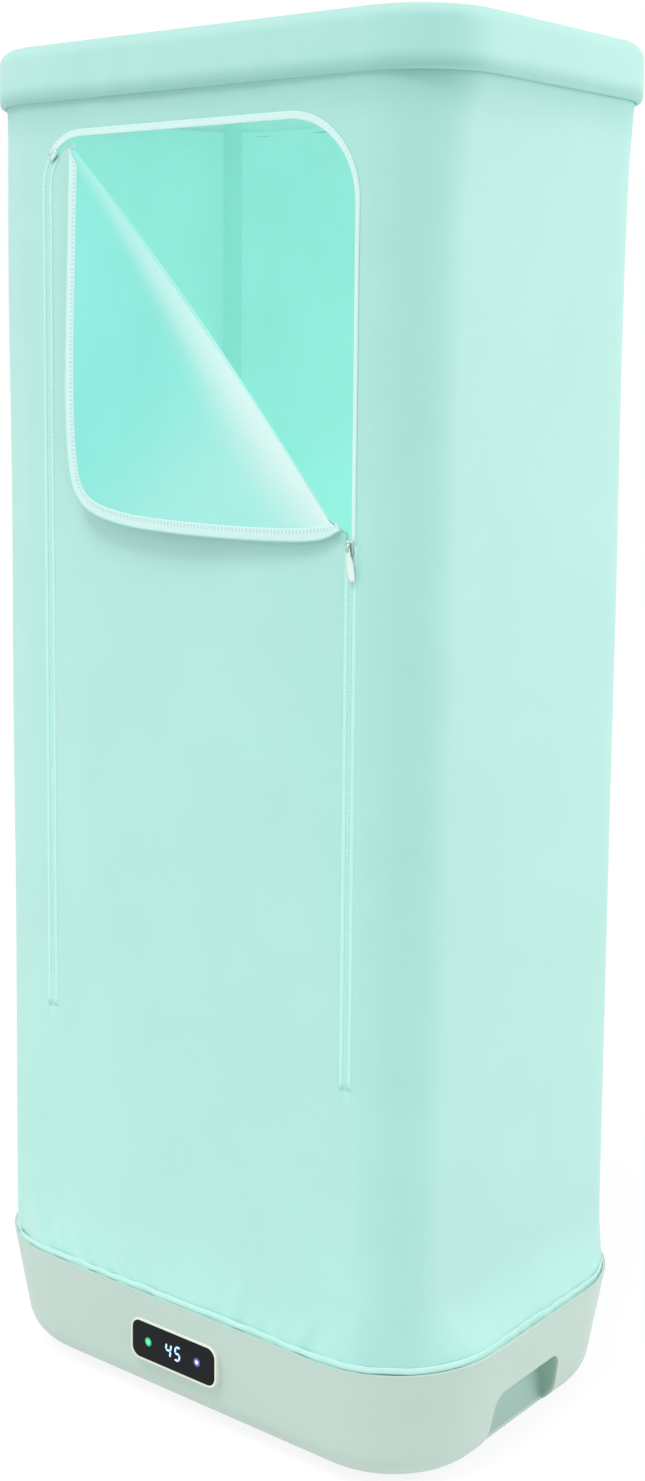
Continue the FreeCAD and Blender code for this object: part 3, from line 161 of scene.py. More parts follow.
@dataclass(frozen=True)
class Ripple:
    """The soft unevenness of cloth: a sum of sine waves of seeded directions and phases."""

    seed: int  # Seed of the directions and phases
    longest: float  # Longest wavelength
    shortest: float  # Shortest wavelength
    height: float  # How high the sum usually stands
    drawn: float = 1.0  # How much of its change along the first coordinate it has along the second
    count: int = 7  # Number of waves

    def at(self, u: Array, v: Array) -> Array:
        """Return the height at two coordinates in metres."""
        chance = np.random.default_rng(self.seed)
        lengths = np.geomspace(self.longest, self.shortest, self.count)
        turns = chance.uniform(0.0, math.pi, self.count)
        phases = chance.uniform(0.0, 2.0 * math.pi, self.count)
        along = u[..., None] * np.cos(turns) + (v * self.drawn)[..., None] * np.sin(turns)
        total = np.sin(along * (2.0 * math.pi / lengths) + phases).sum(axis=-1)
        return total / math.sqrt(self.count) * self.height


@dataclass
class Patch:
    """Quads with a UV corner each, worked out as whole arrays."""

    points: Array  # Corners, n by 3
    faces: Array  # Indices of the corners of each quad, f by 4
    uv: Array  # UV of each quad's corners in metres, f by 4 by 2

    @classmethod
    def grid(cls, points: Array, uv: Array, wrap: bool = False) -> Patch:
        """Make quads between the rows and columns of a grid of points.

        Args:
            points: Rows by columns by 3.
            uv: Rows by columns by 2, with one more column where the grid wraps.
            wrap: True where the last column joins the first.

        Returns:
            The patch.
        """
        rows, columns = points.shape[:2]
        steps = np.arange(rows - 1), np.arange(columns if wrap else columns - 1)
        row, column = (index.ravel() for index in np.meshgrid(*steps, indexing="ij"))
        following = (column + 1) % columns
        faces = np.stack([row * columns + column, row * columns + following,
                          (row + 1) * columns + following, (row + 1) * columns + column], axis=1)
        corners = np.stack([uv[row, column], uv[row, column + 1],
                            uv[row + 1, column + 1], uv[row + 1, column]], axis=1)
        return cls(points.reshape(-1, 3), faces, corners)

    @classmethod
    def swept(cls, centres: Array, side: Array, out: Array, profile: Array, loop: bool = False) -> Patch:
        """Carry a profile along a path: centre plus side times its first and out times its second number.

        Args:
            centres: Points of the path, n by 3.
            side: Direction of the profile's first number at each point, n by 3 or 3.
            out: Direction of the profile's second number at each point, n by 3 or 3.
            profile: Closed profile, k by 2, or n by k by 2 where it changes along the path.
            loop: True where the path closes on itself, and otherwise its ends are closed to a point.

        Returns:
            The patch, with u along the path and v round the profile.
        """
        side, out = np.broadcast_to(side, centres.shape), np.broadcast_to(out, centres.shape)
        profile = np.broadcast_to(profile, (len(centres), *profile.shape[-2:]))
        points = centres[:, None] + side[:, None] * profile[..., :1] + out[:, None] * profile[..., 1:]
        run = lengths_along(centres)
        if loop:
            points = np.concatenate([points, points[:1]])
            run = np.append(run, run[-1] + np.linalg.norm(centres[0] - centres[-1]))
        else:
            ends = points[[0, -1]].mean(axis=1, keepdims=True).repeat(points.shape[1], axis=1)
            points = np.concatenate([ends[:1], points, ends[1:]])
            run = np.concatenate([run[:1], run, run[-1:]])
        round_it = np.linspace(0.0, 1.0, points.shape[1] + 1)
        uv = np.stack(np.meshgrid(run, round_it, indexing="ij"), axis=-1)
        return cls.grid(points, uv, wrap=True)

    @classmethod
    def repeated(cls, shape: Patch, centres: Array, axes: Array) -> Patch:
        """Copy a small shape to many places: centre plus the shape's x, y and z along three axes.

        Args:
            shape: What is copied.
            centres: Places, n by 3.
            axes: Three axes at each place, n by 3 by 3, one axis to a row.

        Returns:
            All the copies as one patch.
        """
        points = centres[:, None] + np.einsum("kc,ncd->nkd", shape.points, axes)
        start = np.arange(len(centres))[:, None, None] * len(shape.points)
        uv = np.broadcast_to(shape.uv, (len(centres), *shape.uv.shape))
        return cls(points.reshape(-1, 3), (shape.faces[None] + start).reshape(-1, 4), uv.reshape(-1, 4, 2))

    @classmethod
    def joined(cls, *patches: Patch) -> Patch:
        """Put several patches together as one."""
        starts = np.cumsum([0, *(len(patch.points) for patch in patches[:-1])])
        return cls(np.concatenate([patch.points for patch in patches]),
                   np.concatenate([patch.faces + start for patch, start in zip(patches, starts)]),
                   np.concatenate([patch.uv for patch in patches]))

    def mesh(self, name: str) -> bpy.types.Mesh:
        """Put the quads and their UV map into a new mesh."""
        mesh = bpy.data.meshes.new(name)
        mesh.from_pydata(self.points.tolist(), [], self.faces.tolist())
        mesh.uv_layers.new(name="UVMap").data.foreach_set("uv", self.uv.astype(np.float32).ravel())
        return mesh

    def piece(self, name: str, body: Body, *replaced: str, closed: bool = False,
              bend: Bend | None = None) -> bpy.types.Object:
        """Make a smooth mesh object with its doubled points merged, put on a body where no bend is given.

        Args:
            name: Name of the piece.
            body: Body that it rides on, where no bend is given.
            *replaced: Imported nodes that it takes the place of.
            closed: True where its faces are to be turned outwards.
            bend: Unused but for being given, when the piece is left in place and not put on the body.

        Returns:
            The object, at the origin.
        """
        mesh = self.mesh(name)
        work = bmesh.new()
        work.from_mesh(mesh)
        bmesh.ops.remove_doubles(work, verts=work.verts, dist=MERGED)
        bmesh.ops.dissolve_degenerate(work, edges=work.edges, dist=SLIVER)
        if closed:
            bmesh.ops.recalc_face_normals(work, faces=work.faces)
        work.to_mesh(mesh)
        work.free()
        mesh.polygons.foreach_set("use_smooth", np.ones(len(mesh.polygons), bool))
        thing = bpy.data.objects.new(name, mesh)
        bpy.context.scene.collection.objects.link(thing)
        if bend is None:
            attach(thing, body.value)
        else:
            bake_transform(thing)
        if replaced:
            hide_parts(*replaced)
        LOG.info("%s: %d faces on %s", name, len(mesh.polygons), body.value)
        return thing


def thickened(thing: bpy.types.Object, thickness: float) -> bpy.types.Object:
    """Give a sheet its thickness behind its faces, with the second finish on the new side."""
    wall = thing.modifiers.new("cloth_thickness", "SOLIDIFY")
    wall.thickness, wall.offset, wall.use_even_offset = thickness, -1.0, True
    wall.material_offset, wall.material_offset_rim = 1, 0
    return thing


class Wire:
    """A shader value that turns Python sums into Math nodes."""

    def __init__(self, graph: Graph, socket: bpy.types.NodeSocket) -> None:
        """Wrap an output socket of a graph."""
        self.graph, self.socket = graph, socket

    def maths(self, operation: str, *values: Wire | float) -> Wire:
        """Add one Math node.

        Args:
            operation: The Math node's operation.
            *values: Its inputs in order.

        Returns:
            The node's value.
        """
        return self.graph.node("ShaderNodeMath", {"operation": operation}, dict(enumerate(values)))

    def __add__(self, other: Wire | float) -> Wire:
        """Add."""
        return self.maths("ADD", self, other)

    __radd__ = __add__

    def __sub__(self, other: Wire | float) -> Wire:
        """Take away."""
        return self.maths("SUBTRACT", self, other)

    def __rsub__(self, other: Wire | float) -> Wire:
        """Take this away from a number."""
        return self.maths("SUBTRACT", other, self)

    def __mul__(self, other: Wire | float) -> Wire:
        """Multiply."""
        return self.maths("MULTIPLY", self, other)

    __rmul__ = __mul__

    def __truediv__(self, other: Wire | float) -> Wire:
        """Divide."""
        return self.maths("DIVIDE", self, other)

    def __rtruediv__(self, other: Wire | float) -> Wire:
        """Divide a number by this."""
        return self.maths("DIVIDE", other, self)

    def __abs__(self) -> Wire:
        """Drop the sign."""
        return self.maths("ABSOLUTE", self)

    def sine(self) -> Wire:
        """Return the sine of an angle in radians."""
        return self.maths("SINE", self)

    def at_most(self, limit: float) -> Wire:
        """Return this value, or the limit where it is past it."""
        return self.maths("MINIMUM", self, limit)

    def within(self, low: float, high: float) -> Wire:
        """Ease from 0 at low to 1 at high."""
        return self.graph.node("ShaderNodeMapRange", {"interpolation_type": "SMOOTHSTEP"},
                               {"Value": self, "From Min": low, "From Max": high})


Value = Wire | float | tuple


class Graph:
    """A node tree that is filled from empty, with its output in place."""

    def __init__(self, tree: bpy.types.NodeTree, output: str) -> None:
        """Empty a tree and give it an output of a kind."""
        self.tree = tree
        self.tree.nodes.clear()
        self.output = self.tree.nodes.new(output)

    def feed(self, socket: bpy.types.NodeSocket, value: Value) -> None:
        """Link a wire to a socket, or set a plain value on it."""
        if isinstance(value, Wire):
            self.tree.links.new(value.socket, socket)
        else:
            socket.default_value = value

    def node(self, kind: str, settings: Mapping[str, object], sockets: Mapping[str | int, Value],
             output: str | int = 0) -> Wire:
        """Add a node: its settings are set first, then its sockets.

        Args:
            kind: Blender's name of the node's type.
            settings: Properties of the node.
            sockets: Values or wires by the socket's name or number.
            output: Output that is wanted.

        Returns:
            That output as a wire.
        """
        made = self.tree.nodes.new(kind)
        for key, setting in settings.items():
            setattr(made, key, setting)
        for key, value in sockets.items():
            self.feed(made.inputs[key], value)
        return Wire(self, made.outputs[output])

    def show(self, shader: Wire) -> None:
        """Show a shader at the output."""
        self.feed(self.output.inputs["Surface"], shader)

    def place(self) -> Wire:
        """Return the Object coordinates."""
        return self.node("ShaderNodeTexCoord", {}, {}, "Object")

    def height(self) -> Wire:
        """Return the third of the Object coordinates."""
        return self.node("ShaderNodeSeparateXYZ", {}, {0: self.place()}, 2)

    def uv(self) -> tuple[Wire, Wire]:
        """Return the two numbers of the UV map."""
        there = self.node("ShaderNodeTexCoord", {}, {}, "UV")
        return (self.node("ShaderNodeSeparateXYZ", {}, {0: there}, 0),
                self.node("ShaderNodeSeparateXYZ", {}, {0: there}, 1))

    def from_middle(self) -> Wire:
        """Return the length of the UV, which is the way out from the middle of a round piece."""
        there = self.node("ShaderNodeTexCoord", {}, {}, "UV")
        return self.node("ShaderNodeVectorMath", {"operation": "LENGTH"}, {0: there}, "Value")

    def aslant(self) -> Wire:
        """Return 0 where the surface faces the eye and 1 where it is seen from the side."""
        return self.node("ShaderNodeLayerWeight", {}, {}, "Facing")

    def stretched(self, where: Wire, scale: Place) -> Wire:
        """Scale a vector along its three axes."""
        return self.node("ShaderNodeVectorMath", {"operation": "MULTIPLY"}, {0: where, 1: scale})

    def noise(self, where: Wire, scale: float, detail: float = 2.0) -> Wire:
        """Return a noise of 0 to 1 at a scale in cycles to the metre."""
        return self.node("ShaderNodeTexNoise", {}, {"Vector": where, "Scale": scale, "Detail": detail})

    def mixed(self, share: Wire, first: tuple | Wire, second: tuple | Wire) -> Wire:
        """Mix two colours by a share."""
        return self.node("ShaderNodeMix", {"data_type": "RGBA"}, {0: share, 6: first, 7: second}, 2)

    def seen(self) -> Wire:
        """Return 1 for what is seen, plainly, mirrored or through glass, and 0 for light on the object."""
        plain, mirrored, through = (self.node("ShaderNodeLightPath", {}, {}, f"Is {kind} Ray")
                                    for kind in ("Camera", "Glossy", "Transmission"))
        return (plain + mirrored + through).within(0.0, 1.0)


class Surface(Graph):
    """The node tree of one material, with its Principled shader."""

    def __init__(self, name: str) -> None:
        """Start a material whose output shows its Principled shader."""
        self.material = bpy.data.materials.new(name)
        self.material.use_nodes = True
        super().__init__(self.material.node_tree, "ShaderNodeOutputMaterial")
        self.shader = self.tree.nodes.new("ShaderNodeBsdfPrincipled")
        self.show(self.shaded())

    def shaded(self) -> Wire:
        """Return what the Principled shader gives."""
        return Wire(self, self.shader.outputs[0])

    def set(self, **values: Value) -> None:
        """Feed inputs of the Principled shader, whose names are given with a low line for each space."""
        for name, value in values.items():
            self.feed(self.shader.inputs[name.replace("_", " ")], value)

    def bump(self, height: Wire, depth: float) -> None:
        """Raise the surface by a height of 0 to 1 times a depth in metres."""
        raised = {"Height": height, "Distance": depth, "Strength": 1.0}
        self.set(Normal=self.node("ShaderNodeBump", {}, raised))


@dataclass(frozen=True)
class Finish:
    """A moulded or painted surface: a colour that drifts a little, with a fine grain."""

    name: str  # Name of the material
    colour: Colour  # Colour as seen, 0 to 255
    roughness: float = 0.45  # Mean roughness
    grain: float = 1400.0  # Grains to the metre
    depth: float = 0.00006  # Depth of the grain in metres
    drift: float = 0.05  # Share by which the colour darkens in places
    metallic: float = 0.0  # 1 for bare metal
    coat: float = 0.0  # Weight of a clear coat
    sheen: float = 0.0  # Weight of a cloth's sheen
    shine: float = 0.5  # Level of the plain reflection, of which a half is usual
    glow: float = 0.0  # Strength of its emission: real light on the display, painted light on the lining, cap and posts
    drift_noise: Span = (9.0, 3.0)  # Scale and detail of the drift
    drift_range: Span = (0.25, 0.8)  # Noise between which the colour drifts
    worn: float = 0.12  # How much the roughness changes from place to place
    worn_noise: Span = (35.0, 4.0)  # Scale and detail of that change

    def darker(self, share: float) -> tuple[float, float, float, float]:
        """Return the linear colour with a share of it taken away."""
        red, green, blue, alpha = linear(self.colour)
        return red * (1.0 - share), green * (1.0 - share), blue * (1.0 - share), alpha

    def relief(self, graph: Graph) -> Wire:
        """Return the height of the surface, a noise of 0 to 1."""
        return graph.noise(graph.place(), self.grain)

    def tint(self, graph: Graph) -> Wire:
        """Return the colour, which drifts over hands' breadths."""
        drift = graph.noise(graph.place(), *self.drift_noise).within(*self.drift_range)
        return graph.mixed(drift, self.darker(self.drift), linear(self.colour))

    def material(self) -> bpy.types.Material:
        """Make the material, or return it where it is made already."""
        made = bpy.data.materials.get(self.name)
        if made is not None:
            return made
        graph = Surface(self.name)
        colour = self.tint(graph)
        patchy = graph.noise(graph.place(), *self.worn_noise)
        graph.set(Base_Color=colour, Roughness=patchy * self.worn + (self.roughness - self.worn / 2.0),
                  Metallic=self.metallic, Coat_Weight=self.coat, Specular_IOR_Level=self.shine,
                  Sheen_Weight=self.sheen)
        # Emission: a real light on the display, painted light on the lining, the cap and the posts.
        if self.glow:
            graph.set(Emission_Color=colour, Emission_Strength=self.glow)
        graph.bump(self.relief(graph), self.depth)
        return graph.material


@dataclass(frozen=True)
class Cloth(Finish):
    """Close plain weave, read from the UV map in metres."""

    thread: float = 0.0011  # Pitch of the threads
    weave: float = 0.35  # Height of the weave, as a share of the depth
    slubs: float = 0.6  # Height of the slubs, as a share of the depth
    slub_noise: Span = (260.0, 3.0)  # Scale and detail of the slubs

    def relief(self, graph: Graph) -> Wire:
        """Return the weave: the product of two sines, one along each thread, with slubs."""
        over, under = ((way * (2.0 * math.pi / self.thread)).sine() for way in graph.uv())
        return over * under * self.weave + graph.noise(graph.place(), *self.slub_noise) * self.slubs


@dataclass(frozen=True)
class CoverCloth(Cloth):
    """Cloth of the cover, with painted shade under the brim and a painted sheen where it is seen aslant."""

    # Heights at which the painted shade under the brim starts, is darkest and ends.
    painted_shade_band: tuple[float, float, float] = (1.280, 1.3460, 1.3610)
    setting_in: float = 0.6  # Share of the way up over which the painted shade sets in
    painted_shade_share: float = 0.29  # Share of the shade colour where the painted shade is darkest
    deep: Colour = (24, 140, 130)  # Colour of the painted shade, 0 to 255
    pale: Colour = (236, 246, 243)  # Colour of the painted sheen where the cloth is seen aslant, 0 to 255
    painted_sheen: float = 0.125  # Greatest share of that painted sheen

    def tint(self, graph: Graph) -> Wire:
        """Return the colour with painted sheen by the square of the slant and painted shade by that of the way
        up.
        """
        start, darkest, end = self.painted_shade_band
        height, aside = graph.height(), graph.aslant()
        upward = (height - start) / (darkest - start)
        inside = (upward * upward * upward.within(0.0, self.setting_in)).at_most(1.0)
        # Painted shade: the sleeve darkens in a band under the brim.
        share = inside * (1.0 - height.within(darkest, end)) * self.painted_shade_share
        # Painted sheen: paler where the cloth is seen aslant.
        sheened = graph.mixed((aside * aside).at_most(self.painted_sheen), super().tint(graph), linear(self.pale))
        return graph.mixed(share, sheened, linear(self.deep))


@dataclass(frozen=True)
class FoldedCloth(Cloth):
    """Cloth folded over along a line, with a painted highlight at the fold and painted light towards its lower
    end.
    """

    fold: Span = (0.017, 1.118)  # X and Z, in metres, of a point on the fold line
    towards: Span = (-0.733, -0.680)  # X and Z of the direction from the fold into the cloth
    lowering: Span = (-0.26, 0.20)  # Lengths down the fold line between which the painted highlight widens
    # Distances from the line, into the cloth, between which the painted highlight fades.
    reach: Span = (-0.012, 0.066)
    narrow: float = 0.24  # Share of these distances at the line's upper end
    widening: float = 1.06  # Share of them that is added by its lower end
    faint: float = 0.2  # Share of the painted highlight at the line's upper end
    pale: Colour = (216, 240, 236)  # Colour of the painted highlight at the fold, 0 to 255
    painted_light_span: Span = (0.0, 0.15)  # Lengths down the fold line between which the painted light sets in
    painted_light_colour: Colour = (158, 231, 220)  # Colour of the painted light towards the fold's lower end, 0 to 255

    def tint(self, graph: Graph) -> Wire:
        """Return the colour with painted light down the fold line, and a painted highlight by a square near it.
        """
        u, v = graph.uv()
        (at_x, at_z), (into_x, into_z) = self.fold, self.towards
        far = (u - at_x) * into_x + (v - at_z) * into_z
        down = (u - at_x) * -into_z + (v - at_z) * into_x
        lower = down.within(*self.lowering)
        near = 1.0 - (far / (lower * lower * self.widening + self.narrow)).within(*self.reach)
        # Painted light: the cloth is lighter towards the fold's lower end.
        painted_light_colour = graph.mixed(down.within(*self.painted_light_span), super().tint(graph), linear(self.painted_light_colour))
        # Painted highlight along the fold's crest.
        return graph.mixed(near * near * (lower * (1.0 - self.faint) + self.faint), painted_light_colour, linear(self.pale))


@dataclass(frozen=True)
class Tape(Finish):
    """Woven tape whose ribs run across it, with a row of stitches along one edge."""

    rib: float = 0.0016  # Pitch of the ribs along the tape
    rib_share: float = 0.4  # Height of the ribs, as a share of the depth, of which the stitches take the rest
    stitch: float = 0.0042  # Length from one stitch to the next
    stitch_at: float = 0.12  # Place of the stitches, as a share of the way round the tape
    stitch_ends: Span = (-0.2, 0.35)  # Values of the sine along the tape between which a stitch sets in
    stitch_sides: Span = (0.02, 0.06)  # Distances from their place between which the stitches end
    stitch_shade: float = 0.2  # Share by which the tape darkens, a painted shade, where a stitch pulls it in

    def ribs(self, graph: Graph) -> Wire:
        """Return the ribs, a sine along the tape of 0 to 1."""
        u, _ = graph.uv()
        return (u * (2.0 * math.pi / self.rib)).sine() * 0.5 + 0.5

    def stitches(self, graph: Graph) -> Wire:
        """Return 1 on the thread of a stitch and 0 between stitches."""
        u, v = graph.uv()
        along = (u * (2.0 * math.pi / self.stitch)).sine().within(*self.stitch_ends)
        return along * (1.0 - abs(v - self.stitch_at).within(*self.stitch_sides))

    def relief(self, graph: Graph) -> Wire:
        """Return the ribs with the stitches sunk into them."""
        return self.ribs(graph) * self.rib_share + (1.0 - self.stitches(graph)) * (1.0 - self.rib_share)

    def tint(self, graph: Graph) -> Wire:
        """Return the tape's colour, with painted shade where the stitches pull it in."""
        # Painted shade in the dimples of the stitches.
        return graph.mixed(self.stitches(graph), linear(self.colour), self.darker(self.stitch_shade))


@dataclass(frozen=True)
class Brushed(Finish):
    """Metal with fine streaks along one axis."""

    stretch: Place = (1.0, 1.0, 0.03)  # Scale of the streaks along each axis

    def relief(self, graph: Graph) -> Wire:
        """Return noise drawn out along the streaks."""
        return graph.noise(graph.stretched(graph.place(), self.stretch), self.grain)


@dataclass(frozen=True)
class Lit(Finish):
    """A small light behind a dome, brightest at its middle."""

    core: Colour = (255, 255, 255)  # Colour of its middle, 0 to 255
    dark: Colour = (20, 21, 25)  # Colour of its edge, 0 to 255
    heart: float = 0.1  # Share of its radius that has the middle's colour in full
    pool: float = 0.55  # Share of its radius at which the middle's colour has faded

    def tint(self, graph: Graph) -> Wire:
        """Return the middle's colour fading outwards twice, by the way out from the middle."""
        far = graph.from_middle()
        lit = graph.mixed(far.within(self.heart, self.pool), linear(self.core), linear(self.colour))
        return graph.mixed(far.within(self.pool, 1.0), lit, linear(self.dark))


class Finishes(Enum):
    """Every finish of the dryer."""

    COVER = CoverCloth("mint_cover", (169, 225, 215), 0.62, depth=0.00010, drift=0.035, sheen=0.08)
    # The lining's glow is painted light: the cloth shines as if lit through the cover.
    LINING = Cloth("mint_lining", (178, 229, 222), 0.6, depth=0.00008, glow=0.33)
    FLAP = FoldedCloth("mint_fold", (132, 228, 215), 0.55, depth=0.00008, sheen=0.1)
    BINDING = Tape("mint_binding", (192, 236, 229), 0.6, depth=0.00010, stitch_shade=0.06)
    TAPE = Tape("pale_zip_tape", (208, 240, 236), 0.6, depth=0.00012, stitch_at=0.2, stitch_shade=0.07)
    EDGE_TAPE = Tape("pale_edge_tape", (204, 238, 234), 0.6, depth=0.00014, stitch_at=0.30, stitch_shade=0.17)
    SHUT_TAPE = Tape("mint_zip_tape", (184, 236, 229), 0.6, depth=0.00008, stitch_at=0.2, stitch_shade=0.06)
    COIL = Finish("nylon_coil", (184, 236, 228), depth=0.00003)
    LACQUER = Finish("pale_lacquer", (226, 240, 234), 0.28, depth=0.00002, coat=0.4)
    SLIDER_METAL = Brushed("plated_slider", (176, 206, 198), 0.4, 900.0, 0.00002, metallic=1.0)
    SHELL = Finish("sage_shell", (190, 211, 201), 0.42, 1700.0, 0.00005, drift=0.03)
    GRIP = Finish("grip_plastic", (162, 195, 183), 0.5, 1500.0)
    BEZEL = Finish("cream_bezel", (226, 231, 218), 0.3, 1800.0, 0.00003, drift=0.03)
    LENS = Finish("black_lens", (23, 25, 28), 0.30, 300.0, 0.00001, drift=0.2, shine=0.10)
    DIGITS = Finish("lit_digits", (168, 200, 255), 0.4, drift=0.12, glow=0.95)
    GREEN = Lit("lit_green", (14, 150, 92), 0.4, core=(84, 240, 164), glow=0.8)
    WHITE = Lit("lit_white", (64, 70, 136), 0.4, core=(232, 236, 255), glow=0.8, pool=0.42)
    # The cap's glow is painted light, so that it matches the lit lining.
    CAP = Finish("mint_cap", (196, 238, 231), glow=0.20)
    # The posts' glow is painted light from the lit cloth round them.
    POST = Finish("powder_coat", (186, 236, 228), 0.4, 1200.0, 0.00009, glow=0.15)
    PLASTIC = Finish("pale_plastic", (214, 230, 224), grain=1300.0)
    DARK = Finish("black_plastic", (44, 45, 48), 0.5, 1300.0, 0.00008)
    RUBBER = Finish("foot_rubber", (38, 38, 38), 0.85, 900.0, 0.00012)
    MESH = Finish("woven_filter", (92, 96, 98), 0.8, 700.0, 0.0002)
    BOARD = Finish("green_laminate", (22, 74, 44), 0.35, 600.0, 0.00004, drift=0.2)
    ZINC = Brushed("zinc_plate", (168, 168, 170), 0.34, 700.0, 0.00003, metallic=1.0)
    CHROME = Brushed("bright_tube", (214, 216, 217), 0.14, 500.0, 0.00001, metallic=1.0,
                     stretch=(0.02, 1.0, 1.0))
    FINS = Brushed("bare_fins", (196, 198, 200), 0.36, 800.0, 0.00004, metallic=1.0)
    BRASS = Brushed("pin_brass", (200, 165, 96), 0.3, 800.0, 0.00003, metallic=1.0)

    def on(self, thing: bpy.types.Object, inner: Finishes | None = None) -> bpy.types.Object:
        """Give a piece this finish, and its inner side another one."""
        thing.data.materials.clear()
        thing.data.materials.append(self.value.material())
        thing.data.materials.append((inner or self).value.material())
        return thing


@dataclass(frozen=True)
class Rim:
    """Samples round a rounded rectangle, against the clock from its front left corner."""

    across: Array  # Share of the straight half width, -1 to 1, at each sample
    along: Array  # Share of the straight half depth, -1 to 1, at each sample
    turn: Array  # Direction that the outline faces, in radians

    @classmethod
    def sampled(cls, long_side: int, short_side: int, corner: int) -> Rim:
        """Sample a rim with so many steps on each side and each corner."""
        steps = partial(np.linspace, endpoint=False)
        runs = ((steps(-1.0, 1.0, long_side), -1.0, -QUARTER),
                (1.0, -1.0, steps(-QUARTER, 0.0, corner)),
                (1.0, steps(-1.0, 1.0, short_side), 0.0),
                (1.0, 1.0, steps(0.0, QUARTER, corner)),
                (steps(1.0, -1.0, long_side), 1.0, QUARTER),
                (-1.0, 1.0, steps(QUARTER, 2.0 * QUARTER, corner)),
                (-1.0, steps(1.0, -1.0, short_side), 2.0 * QUARTER),
                (-1.0, -1.0, steps(2.0 * QUARTER, 3.0 * QUARTER, corner)))
        even = (np.broadcast_arrays(*map(np.atleast_1d, run)) for run in runs)
        return cls(*(np.concatenate(column) for column in zip(*even)))

    def facing(self) -> Array:
        """Return the outward direction at each sample."""
        return np.stack([np.cos(self.turn), np.sin(self.turn), np.zeros_like(self.turn)], axis=1)

    def outline(self, half_width: Array, half_depth: Array, corner: Array, z: Array) -> Array:
        """Return the outline at each height: the straight part's share plus the corner's radius outwards.

        Args:
            half_width: Half width at each height.
            half_depth: Half depth at each height.
            corner: Corner radius at each height.
            z: Heights.

        Returns:
            Heights by samples by 3.
        """
        half_width, half_depth, corner, z = (np.atleast_1d(value)[:, None]
                                             for value in (half_width, half_depth, corner, z))
        x = (half_width - corner) * self.across + corner * np.cos(self.turn)
        y = (half_depth - corner) * self.along + corner * np.sin(self.turn)
        return np.stack([x, y, np.broadcast_to(z, x.shape)], axis=-1)

    @staticmethod
    def run(outline: Array) -> Array:
        """Return the length round an outline from the middle of its front, with the closing sample last."""
        return lengths_along(np.concatenate([outline, outline[:1]])) + outline[0, 0]


@dataclass(frozen=True)
class ZipLine:
    """The middle line of the zip: up the left, round the top and down the right of the door."""

    left: float = -0.185  # X of the left run
    right: float = 0.204  # X of the right run
    low: float = 0.405  # Height at which both runs end
    top: float = 1.305  # Height of the top run
    left_round: float = 0.046  # Radius of the upper left corner
    right_round: float = 0.077  # Radius of the upper right corner
    face: float = 0.199  # Distance of the cover's front face from the middle

    def lengths(self) -> Array:
        """Return the lengths of the left run, left corner, top run, right corner and right run."""
        return np.array([self.top - self.left_round - self.low, self.left_round * QUARTER,
                         self.right - self.right_round - self.left - self.left_round,
                         self.right_round * QUARTER, self.top - self.right_round - self.low])

    def total(self) -> float:
        """Return the length of the whole line."""
        return float(self.lengths().sum())

    def at(self, run: Array, offset: float = 0.0) -> tuple[Array, Array]:
        """Return places on the line: straight runs joined by quarter circles, moved outwards by an offset.

        Args:
            run: Lengths along the line from its lower left end.
            offset: Distance to move outwards, away from the door.

        Returns:
            The places and the outward directions, each n by 3, on the cover's front face.
        """
        ends = np.cumsum(self.lengths())
        angle = math.pi - np.clip((run - ends[0]) / self.left_round, 0.0, QUARTER)
        angle = angle - np.clip((run - ends[2]) / self.right_round, 0.0, QUARTER)
        out = np.stack([np.cos(angle), np.zeros_like(angle), np.sin(angle)], axis=1)
        on_right = run > (ends[1] + ends[2]) / 2.0
        radius = np.where(on_right, self.right_round, self.left_round)
        x = np.where(on_right, self.right - self.right_round, self.left + self.left_round)
        x = x + np.where(on_right, np.minimum(run - ends[2], 0.0), np.maximum(run - ends[1], 0.0))
        z = self.top - radius - np.maximum(ends[0] - run, 0.0) - np.maximum(run - ends[3], 0.0)
        centre = np.stack([x, np.full_like(x, -self.face), z], axis=1)
        return centre + out * (radius + offset)[:, None], out


